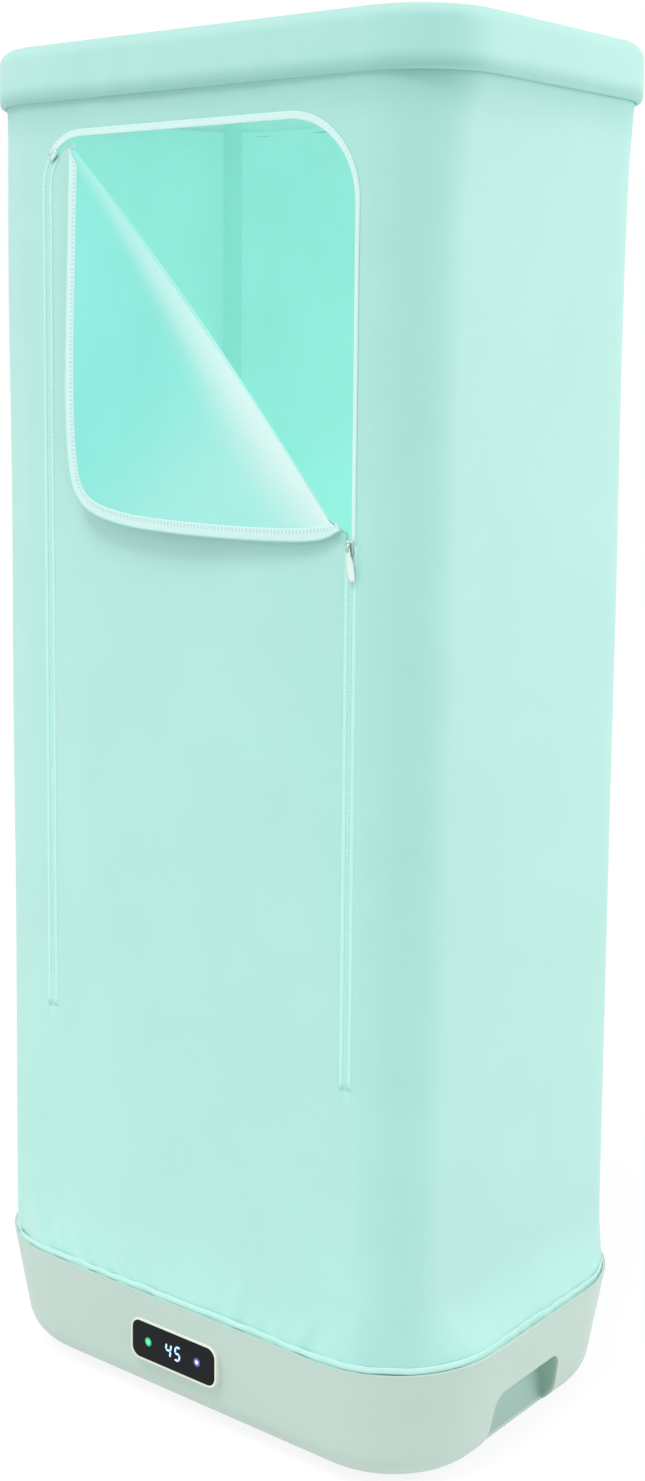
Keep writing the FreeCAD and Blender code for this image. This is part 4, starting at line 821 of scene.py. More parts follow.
@dataclass
class Cover:
    """The fabric cover: a sleeve with the door's opening in it, the top with its brim, and the bound hem."""

    zip_line: ZipLine  # The zip round the door
    half_width: float = 0.280  # Half width of the sleeve
    half_depth: float = 0.199  # Half depth of the sleeve
    seam: float = 0.216  # Half width of the flat front
    rim_width: float = 0.3035  # Half width at the base's rim
    rim_depth: float = 0.211  # Half depth at the base's rim
    rim_seam: float = 0.181  # Half width of the flat front at the base's rim
    rim_z: float = 0.132  # Height of the base's rim
    tuck_z: float = 0.119  # Height of the hem's lower edge behind the rim
    lean: float = 0.177  # Share by which the tucked hem leans in
    hem_z: float = 0.200  # Height from which the sleeve spreads down to the rim
    front_z: float = 0.205  # Height at which the flat front starts
    waist_z: float = 0.700  # Height at which the length round the sleeve is read
    flat_z: float = 1.3216  # Height at which the flat front ends under the brim
    top_z: float = 1.3500  # Height of the sleeve's upper edge, inside the brim
    neck_right: float = 0.054  # Drop over which the right side's spread under the brim fades
    neck_left: float = 0.010  # Drop over which the left side's spread under the brim fades
    neck_inset: float = 0.0060  # How far inside the brim the spread ends
    neck_power: float = 1.2  # Power by which the spread fades round the corners
    fabric: float = 0.001  # Thickness of the fabric
    edge: float = 0.0052  # How far outside the zip's middle line the front ends
    door_inset: float = 0.0045  # How far inside the zip's middle line the door ends
    crowding: float = 0.75  # How much closer together the door's columns stand at its upper left corner
    soft: Ripple = Ripple(11, 0.62, 0.16, 0.0007)  # Long waves of the sleeve
    soft_above: float = 0.01  # Most by which the distance from the zip exceeds the height over it
    gathers: Ripple = Ripple(23, 0.090, 0.024, 0.0007, drawn=0.25)  # Gathers of the hem
    brim_width: float = 0.301  # Half width of the brim
    brim_depth: float = 0.2045  # Half depth of the brim
    brim_corner: float = 0.088  # Corner radius of the brim
    brim_low: float = 1.3466  # Height of the brim's seam, from which its lip is measured
    brim_top: float = 1.400  # Height of the top
    brim_edge: float = 0.015  # Radius of the round along the top's edge
    # Points up the brim from its rolled lip: how far in, and how far above the seam.
    lip: tuple[Span, ...] = ((0.0071, -0.0033), (0.0060, -0.0041), (0.0045, -0.0044), (0.0030, -0.0040),
                             (0.0017, -0.0029), (0.0007, -0.0011), (0.0002, 0.0016), (-0.0001, 0.0065),
                             (-0.0003, 0.0150), (-0.0003, 0.0230), (0.0, 0.0310))
    puckers: Ripple = Ripple(31, 0.34, 0.045, 0.0006, drawn=0.6)  # Puckers of the brim
    sag: float = 0.00036  # How far the top sags
    sag_waves: Ripple = Ripple(37, 0.5, 0.12, 0.0003)  # Unevenness of that sag
    binding_z: float = 0.0034  # Height of the binding's middle above the base's rim
    binding_out: float = 0.0003  # How far the binding's middle stands out of the sleeve
    binding_half: Span = (0.0008, 0.0034)  # Half thickness and half height of the binding
    binding_waves: Ripple = Ripple(41, 0.21, 0.035, 0.0005)  # Waves of the binding, up and down
    front_steps: int = 88  # Steps across the front

    def __post_init__(self) -> None:
        """Sample the rim that the sleeve, the brim and the binding share."""
        self.rim = Rim.sampled(self.front_steps, short_side=26, corner=14)

    def halves(self, z: Array) -> tuple[Array, Array, Array]:
        """Return half width, half depth and corner radius at each height.

        All sides spread by the square of the way down to the rim, and the corner takes up what the flat front
        leaves.

        Args:
            z: Heights.

        Returns:
            The three sizes at each height.
        """
        hem = np.clip((self.hem_z - z) / (self.hem_z - self.rim_z), 0.0, 1.0) ** 2
        tuck = np.maximum(self.rim_z - z, 0.0) * self.lean
        width = self.half_width + (self.rim_width - self.half_width) * hem - tuck
        depth = self.half_depth + (self.rim_depth - self.half_depth) * hem - tuck
        return width, depth, width - self.seam - (self.rim_seam - self.seam) * hem

    def outline(self, z: Array) -> Array:
        """Return the sleeve's outline at each height, spread towards the brim's on its right and left.

        The spread dies away downwards by an exponential, and round each corner by a power of the cosine of
        the outline's direction.

        Args:
            z: Heights.

        Returns:
            Heights by samples by 3.
        """
        sizes = (self.brim_width, self.brim_depth, self.brim_corner)
        brim = self.rim.outline(*(np.full_like(z, size - self.neck_inset) for size in sizes), z)
        drop = np.maximum(self.brim_low - z, 0.0)[:, None]
        right, left = (np.maximum(side * np.cos(self.rim.turn), 0.0) ** self.neck_power
                       for side in (1.0, -1.0))
        share = (right * np.exp(-drop / self.neck_right) + left * np.exp(-drop / self.neck_left))[..., None]
        return self.rim.outline(*self.halves(z), z) * (1.0 - share) + brim * share

    def door_columns(self) -> Array:
        """Return the X of the door's columns, moved left by a fading sine to crowd at its left corner."""
        line = self.zip_line
        share = np.linspace(0.0, 1.0, self.front_steps - 1)
        share = share - self.crowding * np.sin(math.pi * share) / math.pi * (1.0 - share)
        return line.left + self.door_inset + share * (line.right - line.left - 2.0 * self.door_inset)

    def slack(self, u: Array, z: Array) -> Array:
        """Return how far the cloth stands out: long soft waves, flat near the zip, with gathers at the hem.

        Args:
            u: Length round the sleeve from the middle of the front.
            z: Height.

        Returns:
            Distance outwards in metres.
        """
        line = self.zip_line
        above = np.abs(z - line.top)
        beside = np.minimum(np.abs(u - line.left), np.abs(u - line.right))
        beside = np.where(z < line.top, beside, np.minimum(beside, above + self.soft_above))
        over = np.where((u > line.left) & (u < line.right), above, np.inf)
        free = eased(np.minimum(beside, over), low=0.006, high=0.060) * eased(z, low=0.135, high=0.190)
        near_hem = eased(z, low=0.122, high=0.136) * (1.0 - eased(z, low=0.140, high=0.215))
        return self.soft.at(u, z) * free + self.gathers.at(u, z) * near_hem

    def heights(self) -> tuple[Array, int, int]:
        """Return the heights of the sleeve's rows, and the rows between which the front is flat."""
        tuck, hem, flat, neck = 5, 20, 76, 9  # Rows of each stretch
        low = np.concatenate([np.linspace(self.tuck_z, self.rim_z, tuck)[:-1],
                              np.linspace(self.rim_z, self.front_z, hem)[:-1]])
        body = np.linspace(self.front_z, self.flat_z, flat)
        high = np.linspace(self.flat_z, self.top_z, neck)[1:]
        return np.concatenate([low, body, high]), len(low), len(low) + flat - 1

    def opening_edge(self, columns: int, rows: int) -> Array:
        """Return the opening's edge from its lower left end: along the bottom, up the right, over and down.

        Args:
            columns: Steps along its top, and along its bottom.
            rows: Steps up each side.

        Returns:
            Points of the edge, n by 3.
        """
        line = self.zip_line
        left, left_arc, top, right_arc, _ = line.lengths()
        left_half, right_half = left + left_arc / 2.0, left + left_arc + top + right_arc / 2.0
        steps = partial(np.linspace, endpoint=False)
        run = np.concatenate([steps(line.total(), right_half, rows), steps(right_half, left_half, columns),
                              steps(left_half, 0.0, rows)])
        round_it, _ = line.at(run, self.edge)
        x = np.concatenate([[line.left - self.edge], self.door_columns()])
        bottom = np.stack([x, np.full_like(x, -self.half_depth), np.full_like(x, line.low)], axis=1)
        return np.concatenate([bottom, round_it])

    def sleeve(self, door: Patch) -> bpy.types.Object:
        """Build the sleeve as one sheet: rounded rectangles one above another, with the door in the front.

        The front between its two seams is a ring of quads from the opening's edge out to the rows and
        columns of the rest of the sleeve, and the door hangs together with it along its lower edge, so
        the sheet is whole.

        Args:
            door: The door's shut part.

        Returns:
            The sleeve.
        """
        z, first, last = self.heights()
        points = self.outline(z)
        run = self.rim.run(self.outline(np.array([self.waist_z]))[0])
        u, v = np.meshgrid(run, z)
        points = points + self.rim.facing() * self.slack(u[:, :-1], v[:, :-1])[..., None]
        wrap = Patch.grid(points, np.stack([u, v], axis=-1), wrap=True)
        rows, columns = last - first, self.front_steps
        row, column = np.divmod(np.arange(len(wrap.faces)), points.shape[1])
        kept = ~((row >= first) & (row < last) & (column < columns))
        wrap = Patch(wrap.points, wrap.faces[kept], wrap.uv[kept])

        outer = np.concatenate([points[first, :columns], points[first:last, columns],
                                points[last, columns:0:-1], points[last:first:-1, 0]])
        share = np.linspace(0.0, 1.0, num=13)[:, None, None]
        inwards = outer * (1.0 - share) + self.opening_edge(columns, rows) * share
        inwards[1:, :, 1] = -self.half_depth - self.slack(inwards[1:, :, 0], inwards[1:, :, 2])
        closed = np.concatenate([inwards, inwards[:, :1]], axis=1)
        front = Patch.grid(inwards, closed[..., [0, 2]], wrap=True)
        sleeve = Patch.joined(wrap, front, door).piece(
            "cover_sleeve", Body.BASE, "cover_front", "cover_back", "cover_left", "cover_right", "door_panel")
        return thickened(sleeve, self.fabric)

    def crown(self) -> bpy.types.Object:
        """Build the top and its brim as one sheet: the brim's outline moved in along a rounded profile.

        The profile starts inside the brim, rolls under its lip, bulges a little up the brim, goes round
        the top's edge in a quarter circle and runs in to the middle of the top.
        """
        angle = np.linspace(0.0, QUARTER, num=10)
        high = self.brim_top - self.brim_low
        edge = np.stack([self.brim_edge * (1.0 - np.cos(angle)),
                         high - self.brim_edge * (1.0 - np.sin(angle))], axis=1)
        inset = np.linspace(self.brim_edge, self.brim_depth, num=26)[1:]
        top = np.stack([inset, np.full_like(inset, high)], axis=1)
        profile = np.concatenate([np.array(self.lip), edge, top])
        moved, z = profile[:, 0], profile[:, 1] + self.brim_low
        corner = np.maximum(self.brim_corner - moved, 0.0)
        points = self.rim.outline(self.brim_width - moved, self.brim_depth - moved, corner, z)
        along = lengths_along(profile)
        u, v = np.meshgrid(self.rim.run(points[np.argmin(moved)]), along)
        on_brim = (1.0 - eased(moved, low=0.004, high=self.brim_edge)) * eased(along, low=0.002, high=0.010)
        puckers = self.puckers.at(u[:, :-1], v[:, :-1]) * on_brim[:, None]
        points = points + self.rim.facing() * puckers[..., None]
        sag = self.sag + self.sag_waves.at(points[..., 0], points[..., 1])
        points[..., 2] -= sag * eased(moved, low=self.brim_edge, high=0.05)[:, None]
        crown = Patch.grid(points, np.stack([u, v], axis=-1), wrap=True)
        return thickened(crown.piece("cover_crown", Body.BASE, "cover_top"), self.fabric)

    def binding(self) -> bpy.types.Object:
        """Build the hem's binding: an oval carried round the sleeve just above the base's rim."""
        centres = self.outline(np.array([self.rim_z + self.binding_z]))[0]
        facing = self.rim.facing()
        run = self.rim.run(centres)[:-1]
        centres = centres + facing * (self.binding_out + self.slack(run, centres[:, 2]))[:, None]
        centres[:, 2] += self.binding_waves.at(run, np.zeros_like(run))
        oval = ring(count=12) * self.binding_half
        return Patch.swept(centres, facing, UP, oval, loop=True).piece("hem_binding", Body.BASE, closed=True)

    def build(self, door: Patch) -> None:
        """Build and finish the cover's pieces, with the door's shut part."""
        sleeve = Finishes.COVER.on(self.sleeve(door), Finishes.LINING)
        crown = Finishes.COVER.on(self.crown(), Finishes.LINING)
        binding = Finishes.BINDING.on(self.binding())


@dataclass
class Door:
    """The door: its shut part, and its upper right corner, which is folded over along a soft roll."""

    cover: Cover  # The cover that the door is let into
    fold_start: Span = (-0.1455, 1.2935)  # X and Z of the upper end of the fold
    fold_end: Span = (0.1800, 0.9430)  # X and Z of the lower end of the fold
    bow: float = 0.0105  # How far the fold bows towards the opening at its middle
    roll: float = 0.0078  # Radius of the roll at the middle of the fold
    roll_end: float = 0.0019  # Radius of the roll at the fold's ends
    roll_power: float = 0.8  # Power by which the roll grows from its ends
    spread: float = 3.6  # How many times as wide as high the roll is
    # Control points, in X and Z, of the folded corner's free edge.
    free_edge: tuple[Span, ...] = ((-0.1490, 1.2940), (-0.1475, 1.1895), (-0.1460, 1.0900), (-0.1450, 1.0050),
                                   (-0.1330, 0.9435), (-0.0820, 0.9240), (0.0200, 0.9195), (0.1275, 0.9200),
                                   (0.1755, 0.9240), (0.1945, 0.9350))
    lift: float = 0.0165  # How far the folded corner stands off the door at its rounded corner
    rest: float = 0.0048  # How far it stands off at its two tips
    belly: float = 0.0016  # How far it bellies between the fold and the free edge
    soft: Ripple = Ripple(53, 0.34, 0.11, 0.0005)  # Soft waves of the folded corner
    turn: float = 0.035  # How far in from the fold the bend's second point lies
    shut_z: float = 0.9330  # Height at which the shut part's upper edge meets the right zip
    shut_roll: float = 0.0004  # Radius of its curl there
    flat_roll: float = 0.0003  # Radius of its curl along the zip
    tucked: float = 1.4  # How far it stays below the fold's crest, in thicknesses of the fabric
    curl: float = 0.72  # Share of a step down the door that counts as a step round its curl
    tape: float = 0.0122  # Width of the tape along the free edge
    tape_half: float = 0.0009  # Half thickness of that tape
    tape_sunk: float = 0.0002  # How far the tape is sunk in
    tape_start: float = 0.15  # Share of the tape's width at its upper end
    tape_end: float = 0.55  # Share of the tape's width at its lower end
    panel_power: float = 2.4  # Power by which the shut part's rows crowd to its upper edge
    flap_power: float = 2.2  # Power by which the folded corner's rows crowd to the fold
    flap_end: float = 0.985  # Share of the way to the free edge at which the cloth ends under the tape
    edge_from: float = 0.93  # Share of the way from which the free edge's direction is read

    def fold(self) -> tuple[Array, Array, Array]:
        """Return the fold's ends in X and Z, and the direction from it towards the opening."""
        start, end = np.array(self.fold_start), np.array(self.fold_end)
        along = (end - start) / np.linalg.norm(end - start)
        return start, end, np.array([-along[1], along[0]])

    def crest(self, share: Array) -> Array:
        """Return the fold's crest in X and Z: a straight line bowed by a parabola towards the opening."""
        start, end, towards = self.fold()
        share = share[:, None]
        return start + share * (end - start) + 4.0 * self.bow * share * (1.0 - share) * towards

    def bend(self) -> Bend:
        """Return two points on the door's face: one on the fold's crest, one a little in from the fold's
        middle.
        """
        start, end, towards = self.fold()
        first, last = ((start + end) / 2.0 + towards * far for far in (self.bow, -self.turn))
        return ((float(first[0]), -self.cover.half_depth, float(first[1])),
                (float(last[0]), -self.cover.half_depth, float(last[1])))

    def radius(self, share: Array) -> Array:
        """Return the radius of the roll along the fold, by a power of a sine, largest at the middle."""
        return self.roll_end + (self.roll - self.roll_end) * np.sin(math.pi * share) ** self.roll_power

    def stand(self, share: Array) -> Array:
        """Return how far the free edge stands off the door, by a sine, most at its rounded corner."""
        return self.rest + (self.lift - self.rest) * np.sin(math.pi * share)

    def flap_points(self, share: Array, way: Array) -> Array:
        """Return the folded corner: straight lines from the crest to the free edge, rolled at the crest.

        The height rises round a quarter ellipse from the crest, and falls by a square to the free edge.

        Args:
            share: Shares along the fold, n.
            way: Shares of the way from the crest to the free edge, m.

        Returns:
            n by m by 3 points.
        """
        crest, edge = self.crest(share), rounded_path(self.free_edge, len(share))
        lines = edge - crest
        flat = crest[:, None] + lines[:, None] * way[None, :, None]
        far = np.linalg.norm(lines, axis=1)[:, None] * way
        radius, stand = self.radius(share)[:, None], self.stand(share)[:, None]
        rolled = np.minimum(far / (radius * self.spread), 1.0)
        height = stand + (2.0 * radius - stand) * (1.0 - way) ** 2
        height = height * (0.5 + 0.5 * np.sqrt(1.0 - (1.0 - rolled) ** 2))
        belly = self.belly * np.sin(math.pi * way) * np.sin(math.pi * share)[:, None]
        soft = self.soft.at(flat[..., 0], flat[..., 1]) * eased(far, low=0.0, high=0.06)
        y = -self.cover.half_depth - height - belly - soft
        return np.stack([flat[..., 0], y, flat[..., 1]], axis=-1)

    def panel(self) -> Patch:
        """Build the shut part: columns from the door's lower edge up to the zip's corner or the fold's crest.

        Its upper edge curls forward by a quarter circle of the roll's radius, to meet the folded corner.
        """
        line = self.cover.zip_line
        x = self.cover.door_columns()
        share = np.linspace(0.0, 1.0, num=240)
        crest = np.concatenate([self.crest(share), [[x[-1], self.shut_z]]])
        radius = np.append(self.radius(share), self.shut_roll)
        bend = line.left_round - self.cover.door_inset
        beside = np.minimum(x - line.left - line.left_round, 0.0)
        arc = line.top - line.left_round + np.sqrt(np.maximum(bend ** 2 - beside ** 2, 0.0))
        level = np.interp(x, crest[:, 0], crest[:, 1]) - self.tucked * self.cover.fabric
        by_zip = x < crest[0, 0]
        top = np.minimum(arc, np.where(by_zip, arc, level))[:, None]
        rolled = np.where(by_zip, self.flat_roll, np.interp(x, crest[:, 0], radius))[:, None]
        way = 1.0 - (1.0 - np.linspace(0.0, 1.0, num=110)) ** self.panel_power
        z = line.low + (top - line.low) * way
        round_it = np.minimum((top - z) * self.curl / rolled, 1.0)
        height = rolled * (1.0 - np.sqrt(1.0 - (1.0 - round_it) ** 2))
        across = np.broadcast_to(x[:, None], z.shape)
        y = -self.cover.half_depth - self.cover.slack(across, z) - height
        points = np.stack([across, y, z], axis=-1).transpose(1, 0, 2)
        return Patch.grid(points, points[..., [0, 2]])

    def flap(self) -> bpy.types.Object:
        """Build the folded corner, which shows the lining, with its rows crowded to the fold by a power."""
        share = np.linspace(0.0, 1.0, num=150)
        way = np.linspace(0.0, 1.0, num=56) ** self.flap_power
        points = self.flap_points(share, way * self.flap_end)
        flap = Patch.grid(points, points[..., [0, 2]])
        return thickened(flap.piece("door_folded_corner", Body.FLAP, "door_flap", bend=self.bend()),
                         self.cover.fabric)

    def edge_frame(self, count: int) -> tuple[Array, Array, Array]:
        """Return places on the folded corner's free edge, the directions inwards, and those off the door."""
        points = self.flap_points(np.linspace(0.0, 1.0, count), np.array([self.edge_from, 1.0]))
        near, place = points.swapaxes(0, 1)
        along = np.gradient(place, axis=0)
        along = along / np.linalg.norm(along, axis=1, keepdims=True)
        off = np.cross(along, near - place)
        off = off / np.linalg.norm(off, axis=1, keepdims=True)
        off = off * -np.sign(off[:, 1:2])
        inward = np.cross(off, along)
        return place, inward * np.sign((inward * (near - place)).sum(axis=1, keepdims=True)), off

    def edge_tape(self) -> bpy.types.Object:
        """Build the tape along the free edge: a flat rounded band carried along it, narrower at both ends."""
        place, inward, off = self.edge_frame(count=260)
        across, above = ring(count=16, wide=0.35, high=0.6).T
        share = np.linspace(0.0, 1.0, num=len(place))[:, None]
        wide = (self.tape_start + (1.0 - self.tape_start) * eased(share, low=0.0, high=0.03)
                - (1.0 - self.tape_end) * eased(share, low=0.96, high=1.0))
        across = self.tape / 2.0 * (1.0 - across) * wide
        above = self.tape_half * above - self.tape_sunk
        above[0] = 0.0  # The outermost points lie on the cloth's edge itself.
        above = np.broadcast_to(above, across.shape)
        return Patch.swept(place, inward, off, np.stack([across, above], axis=-1)).piece(
            "flap_zip_tape", Body.FLAP, "zip_tape_flap", closed=True, bend=self.bend())

    def build(self) -> None:
        """Build and finish the folded corner and the tape along its edge."""
        flap = Finishes.FLAP.on(self.flap(), Finishes.COVER)
        tape = Finishes.EDGE_TAPE.on(self.edge_tape())


@dataclass
class Zip:
    """The zip: tapes, the closed coil, the open coils and the two sliders with the pull."""

    line: ZipLine  # Its middle line
    door: Door  # The door that it closes
    right_z: float = 0.919  # Height of the right slider
    left_turn: float = math.radians(40.0)  # How far round the corner the left slider stands, in radians
    coil_half: float = 0.0024  # Half width of the closed coil
    tape_end: float = 0.0072  # Outer edge of a tape from the middle line
    tape_half: float = 0.0009  # Half thickness of a tape
    tape_step: float = 0.008  # Length of a tape's rows
    tape_rows: int = 12  # Fewest rows of a tape
    shut_proud: float = 0.0007  # How far the shut tape stands out of the cover
    bed_proud: float = 0.0001  # How far the strip under the closed coil stands out
    bed_over: float = 0.001  # How far that strip reaches past the coil on each side
    under_slider: float = 0.002  # How far the shut tape runs on under a slider
    pitch: float = 0.0022  # Length from one tooth to the next
    # Width of a tooth as a share of the pitch, its thickness, and its tip's share of its root.
    tooth_size: Place = (0.62, 0.0012, 0.72)
    tooth_sunk: float = 0.0003  # How far a tooth is sunk in
    meshed: float = 0.0030  # Length of a tooth of the closed coil
    reach: float = 0.0022  # Length of a tooth of an open coil
    coil_end: float = 0.002  # How far the closed coil stops short of the zip's ends
    coil_gap: float = 0.006  # How far it stops short of a slider
    open_gap: float = 0.010  # How far the open coil stops short of a slider
    open_root: float = 0.0004  # How far its roots lie outside the closed coil's edge
    flap_root: float = 0.0008  # How far in from the folded corner's edge its teeth start
    flap_run: float = 1.25  # Length of that edge, as a share of the straight way between its ends
    slider_y: float = -0.2009  # Y of the right slider's middle
    # Place along a slider, half width and half thickness, from its lower end up.
    slider_rows: tuple[Place, ...] = ((-0.0078, 0.0022, 0.0005), (-0.0072, 0.0032, 0.0009),
                                      (-0.0040, 0.0038, 0.00105), (0.0, 0.0042, 0.0011),
                                      (0.0045, 0.0048, 0.0011), (0.0070, 0.0046, 0.0009),
                                      (0.0078, 0.0034, 0.0005))
    left_out: float = 0.0019  # How far the left slider's middle stands out of the cover
    left_size: float = 0.78  # Size of the left slider, as a share of the right one
    # How far the bridge's feet stand out of the slider's middle, its height and its half length.
    bridge: Place = (0.0006, 0.0046, 0.0048)
    strap: Span = (0.0017, 0.00055)  # Half width and half thickness of the bridge
    pin_y: float = -0.2042  # Y of the pin that the pull hangs from
    pull_lean: float = 0.14  # Share of its length by which the pull leans to the right
    # Place along the pull, half width, half thickness and how far forward of the pin it stands.
    pull_rows: tuple[tuple[float, float, float, float], ...] = (
        (0.0017, 0.0010, 0.0004, 0.0), (0.0012, 0.0020, 0.0007, 0.0), (-0.0020, 0.0023, 0.0008, 0.0),
        (-0.0070, 0.0021, 0.0008, -0.0004), (-0.0105, 0.0029, 0.0008, -0.0009),
        (-0.0140, 0.0036, 0.0009, -0.0013), (-0.0240, 0.0038, 0.0009, -0.0016),
        (-0.0280, 0.0035, 0.0009, -0.0016), (-0.0298, 0.0024, 0.0008, -0.0016),
        (-0.0305, 0.0010, 0.0004, -0.0016))

    def stops(self) -> Span:
        """Return the lengths along the line at which the left and right sliders stand."""
        return (float(self.line.lengths()[0]) + self.line.left_round * self.left_turn,
                self.line.total() - (self.right_z - self.line.low))

    def tape(self, start: float, end: float, inner: float, outer: float, proud: float,
             slim: float = 0.0) -> Patch:
        """Carry a flat rounded band along the line between two offsets from it.

        Args:
            start: Length along the line at which it starts.
            end: Length at which it ends.
            inner: Offset of one edge.
            outer: Offset of the other edge.
            proud: How far it stands out of the cover.
            slim: How much of its width is turned in past the middle of its run.

        Returns:
            The band.
        """
        count = max(int((end - start) / self.tape_step), self.tape_rows)
        place, out = self.line.at(np.linspace(start, end, count))
        across, above = ring(count=14, wide=0.45, high=0.6).T
        wide = (outer - inner - slim * eased(np.linspace(0.0, 1.0, count), low=0.40, high=0.66))[:, None]
        across = inner + wide * (0.5 + 0.5 * across)
        above = np.broadcast_to(proud - self.tape_half + self.tape_half * above, across.shape)
        return Patch.swept(place, out, FRONT, np.stack([across, above], axis=-1))

    def tooth(self, reach: float) -> Patch:
        """Return one tooth: a block of six quads that narrows outwards, with its x along its reach."""
        wide, thick, tip = self.pitch * self.tooth_size[0] / 2.0, self.tooth_size[1] / 2.0, self.tooth_size[2]
        corners = np.array([(x, side * wide * size, out * thick * size)
                            for x, size in ((0.0, 1.0), (reach, tip))
                            for side, out in ((-1, -1), (1, -1), (1, 1), (-1, 1))])
        faces = np.array([(0, 3, 2, 1), (4, 5, 6, 7), (0, 1, 5, 4), (1, 2, 6, 5), (2, 3, 7, 6), (3, 0, 4, 7)])
        uv = np.broadcast_to(np.array([(0, 0), (1, 0), (1, 1), (0, 1)], float), (6, 4, 2))
        return Patch(corners, faces, uv)

    def coil(self, start: float, end: float, reach: float, root: float) -> Patch:
        """Set teeth along the line, from a root offset, reaching across it.

        Args:
            start: Length along the line of the first tooth.
            end: Length of the last tooth.
            reach: Signed length of a tooth across the line.
            root: Offset of the tooth's root from the line.

        Returns:
            The teeth.
        """
        place, out = self.line.at(np.arange(start, end, self.pitch), root)
        front = np.broadcast_to(FRONT, out.shape)
        axes = np.stack([out * math.copysign(1.0, reach), np.cross(front, out), front], axis=1)
        return Patch.repeated(self.tooth(abs(reach)), place - front * self.tooth_sunk, axes)

    def flap_coil(self) -> Patch:
        """Set teeth along the folded corner's free edge, reaching out past it."""
        ends = np.array(self.door.free_edge)[[0, -1]]
        count = int(self.flap_run * np.linalg.norm(ends[1] - ends[0]) / self.pitch)
        place, inward, off = self.door.edge_frame(count)
        axes = np.stack([-inward, np.cross(off, -inward), off], axis=1)
        return Patch.repeated(self.tooth(self.reach), place + inward * self.flap_root, axes)

    def loft(self, centre: Array, along: Array, across: Array, rows: Array) -> Patch:
        """Stack rounded oblongs along an axis.

        Args:
            centre: Where the axis starts.
            along: Direction of the axis.
            across: Direction of the oblongs' width.
            rows: Place along the axis, half width, half thickness and how far forward each oblong stands.

        Returns:
            The closed shape.
        """
        oblong = ring(count=20, wide=0.55, high=0.55)
        centres = centre + rows[:, :1] * along + rows[:, 3:] * FRONT
        return Patch.swept(centres, across, FRONT, oblong * rows[:, None, 1:3])

    def slider(self, centre: Array, up: Array) -> Patch:
        """Return a slider's body: a shield that narrows towards its lower end."""
        rows = np.array([(*row, 0.0) for row in self.slider_rows])
        return self.loft(centre, up, np.cross(up, FRONT), rows)

    def sliders(self) -> None:
        """Build both sliders and the pull, which hangs from the bridge that arches over the right one."""
        middle = np.array([self.line.right, self.slider_y, self.right_z])
        angle = np.linspace(0.0, math.pi, num=15)[:, None]
        foot, high, half = self.bridge
        bridge = middle + FRONT * (foot + high * np.sin(angle)) + UP * half * np.cos(angle)
        strap = Patch.swept(bridge, RIGHT, FRONT * np.sin(angle) + UP * np.cos(angle),
                            ring(count=12) * self.strap)
        right = Patch.joined(self.slider(middle, UP), strap).piece(
            "right_slider_body", Body.RIGHT_SLIDER, "zip_slider_right", closed=True)
        pin = np.array([self.line.right, self.pin_y, self.right_z])
        pull = self.loft(pin, UP - RIGHT * self.pull_lean, RIGHT, np.array(self.pull_rows)).piece(
            "slider_pull_tab", Body.RIGHT_PULL, "zip_pull", closed=True)
        (place,), (out,) = self.line.at(np.array([self.stops()[0]]))
        upward = np.array([out[2], 0.0, -out[0]]) * self.left_size
        left = self.slider(place + FRONT * self.left_out, upward).piece(
            "left_slider_body", Body.LEFT_SLIDER, "zip_slider_left", closed=True)
        for thing, finish in ((right, Finishes.SLIDER_METAL), (left, Finishes.SLIDER_METAL),
                              (pull, Finishes.LACQUER)):
            finish.on(thing)

    def build(self) -> None:
        """Build and finish the tapes, the coils and the sliders."""
        whole, (left, right) = self.line.total(), self.stops()
        half, end, bed = self.coil_half, self.tape_end, self.coil_half + self.bed_over
        open_tape = self.tape(left - 0.003, right + 0.004, inner=half - 0.0014, outer=end + 0.0012,
                              proud=0.0014, slim=0.0030)
        shut_tape = Patch.joined(*(
            self.tape(start, stop, inner, outer, proud)
            for start, stop in ((0.0, left + self.under_slider), (right - self.under_slider, whole))
            for inner, outer, proud in ((half, end, self.shut_proud), (-end, -half, self.shut_proud),
                                        (-bed, bed, self.bed_proud))))
        shut_coil = Patch.joined(*(
            self.coil(start, stop, side * self.meshed, -side * half)
            for start, stop in ((self.coil_end, left - self.coil_gap),
                                (right + self.coil_gap, whole - self.coil_end))
            for side in (-1.0, 1.0)))
        open_coil = self.coil(left + self.open_gap, right - self.open_gap, -self.reach, half + self.open_root)
        for patch, name, node, finish in ((open_tape, "open_zip_tape", "zip_tape_frame", Finishes.TAPE),
                                          (shut_tape, "shut_zip_tape", "zip_tape_door", Finishes.SHUT_TAPE)):
            finish.on(patch.piece(name, Body.BASE, node, closed=True))
        for patch, name, node, body, bend in (
                (shut_coil, "closed_coil", "zip_chain", Body.BASE, None),
                (open_coil, "open_coil", "zip_teeth_frame", Body.BASE, None),
                (self.flap_coil(), "flap_coil", "zip_teeth_flap", Body.FLAP, self.door.bend())):
            Finishes.COIL.on(patch.piece(name, body, node, closed=True, bend=bend))
        self.sliders()


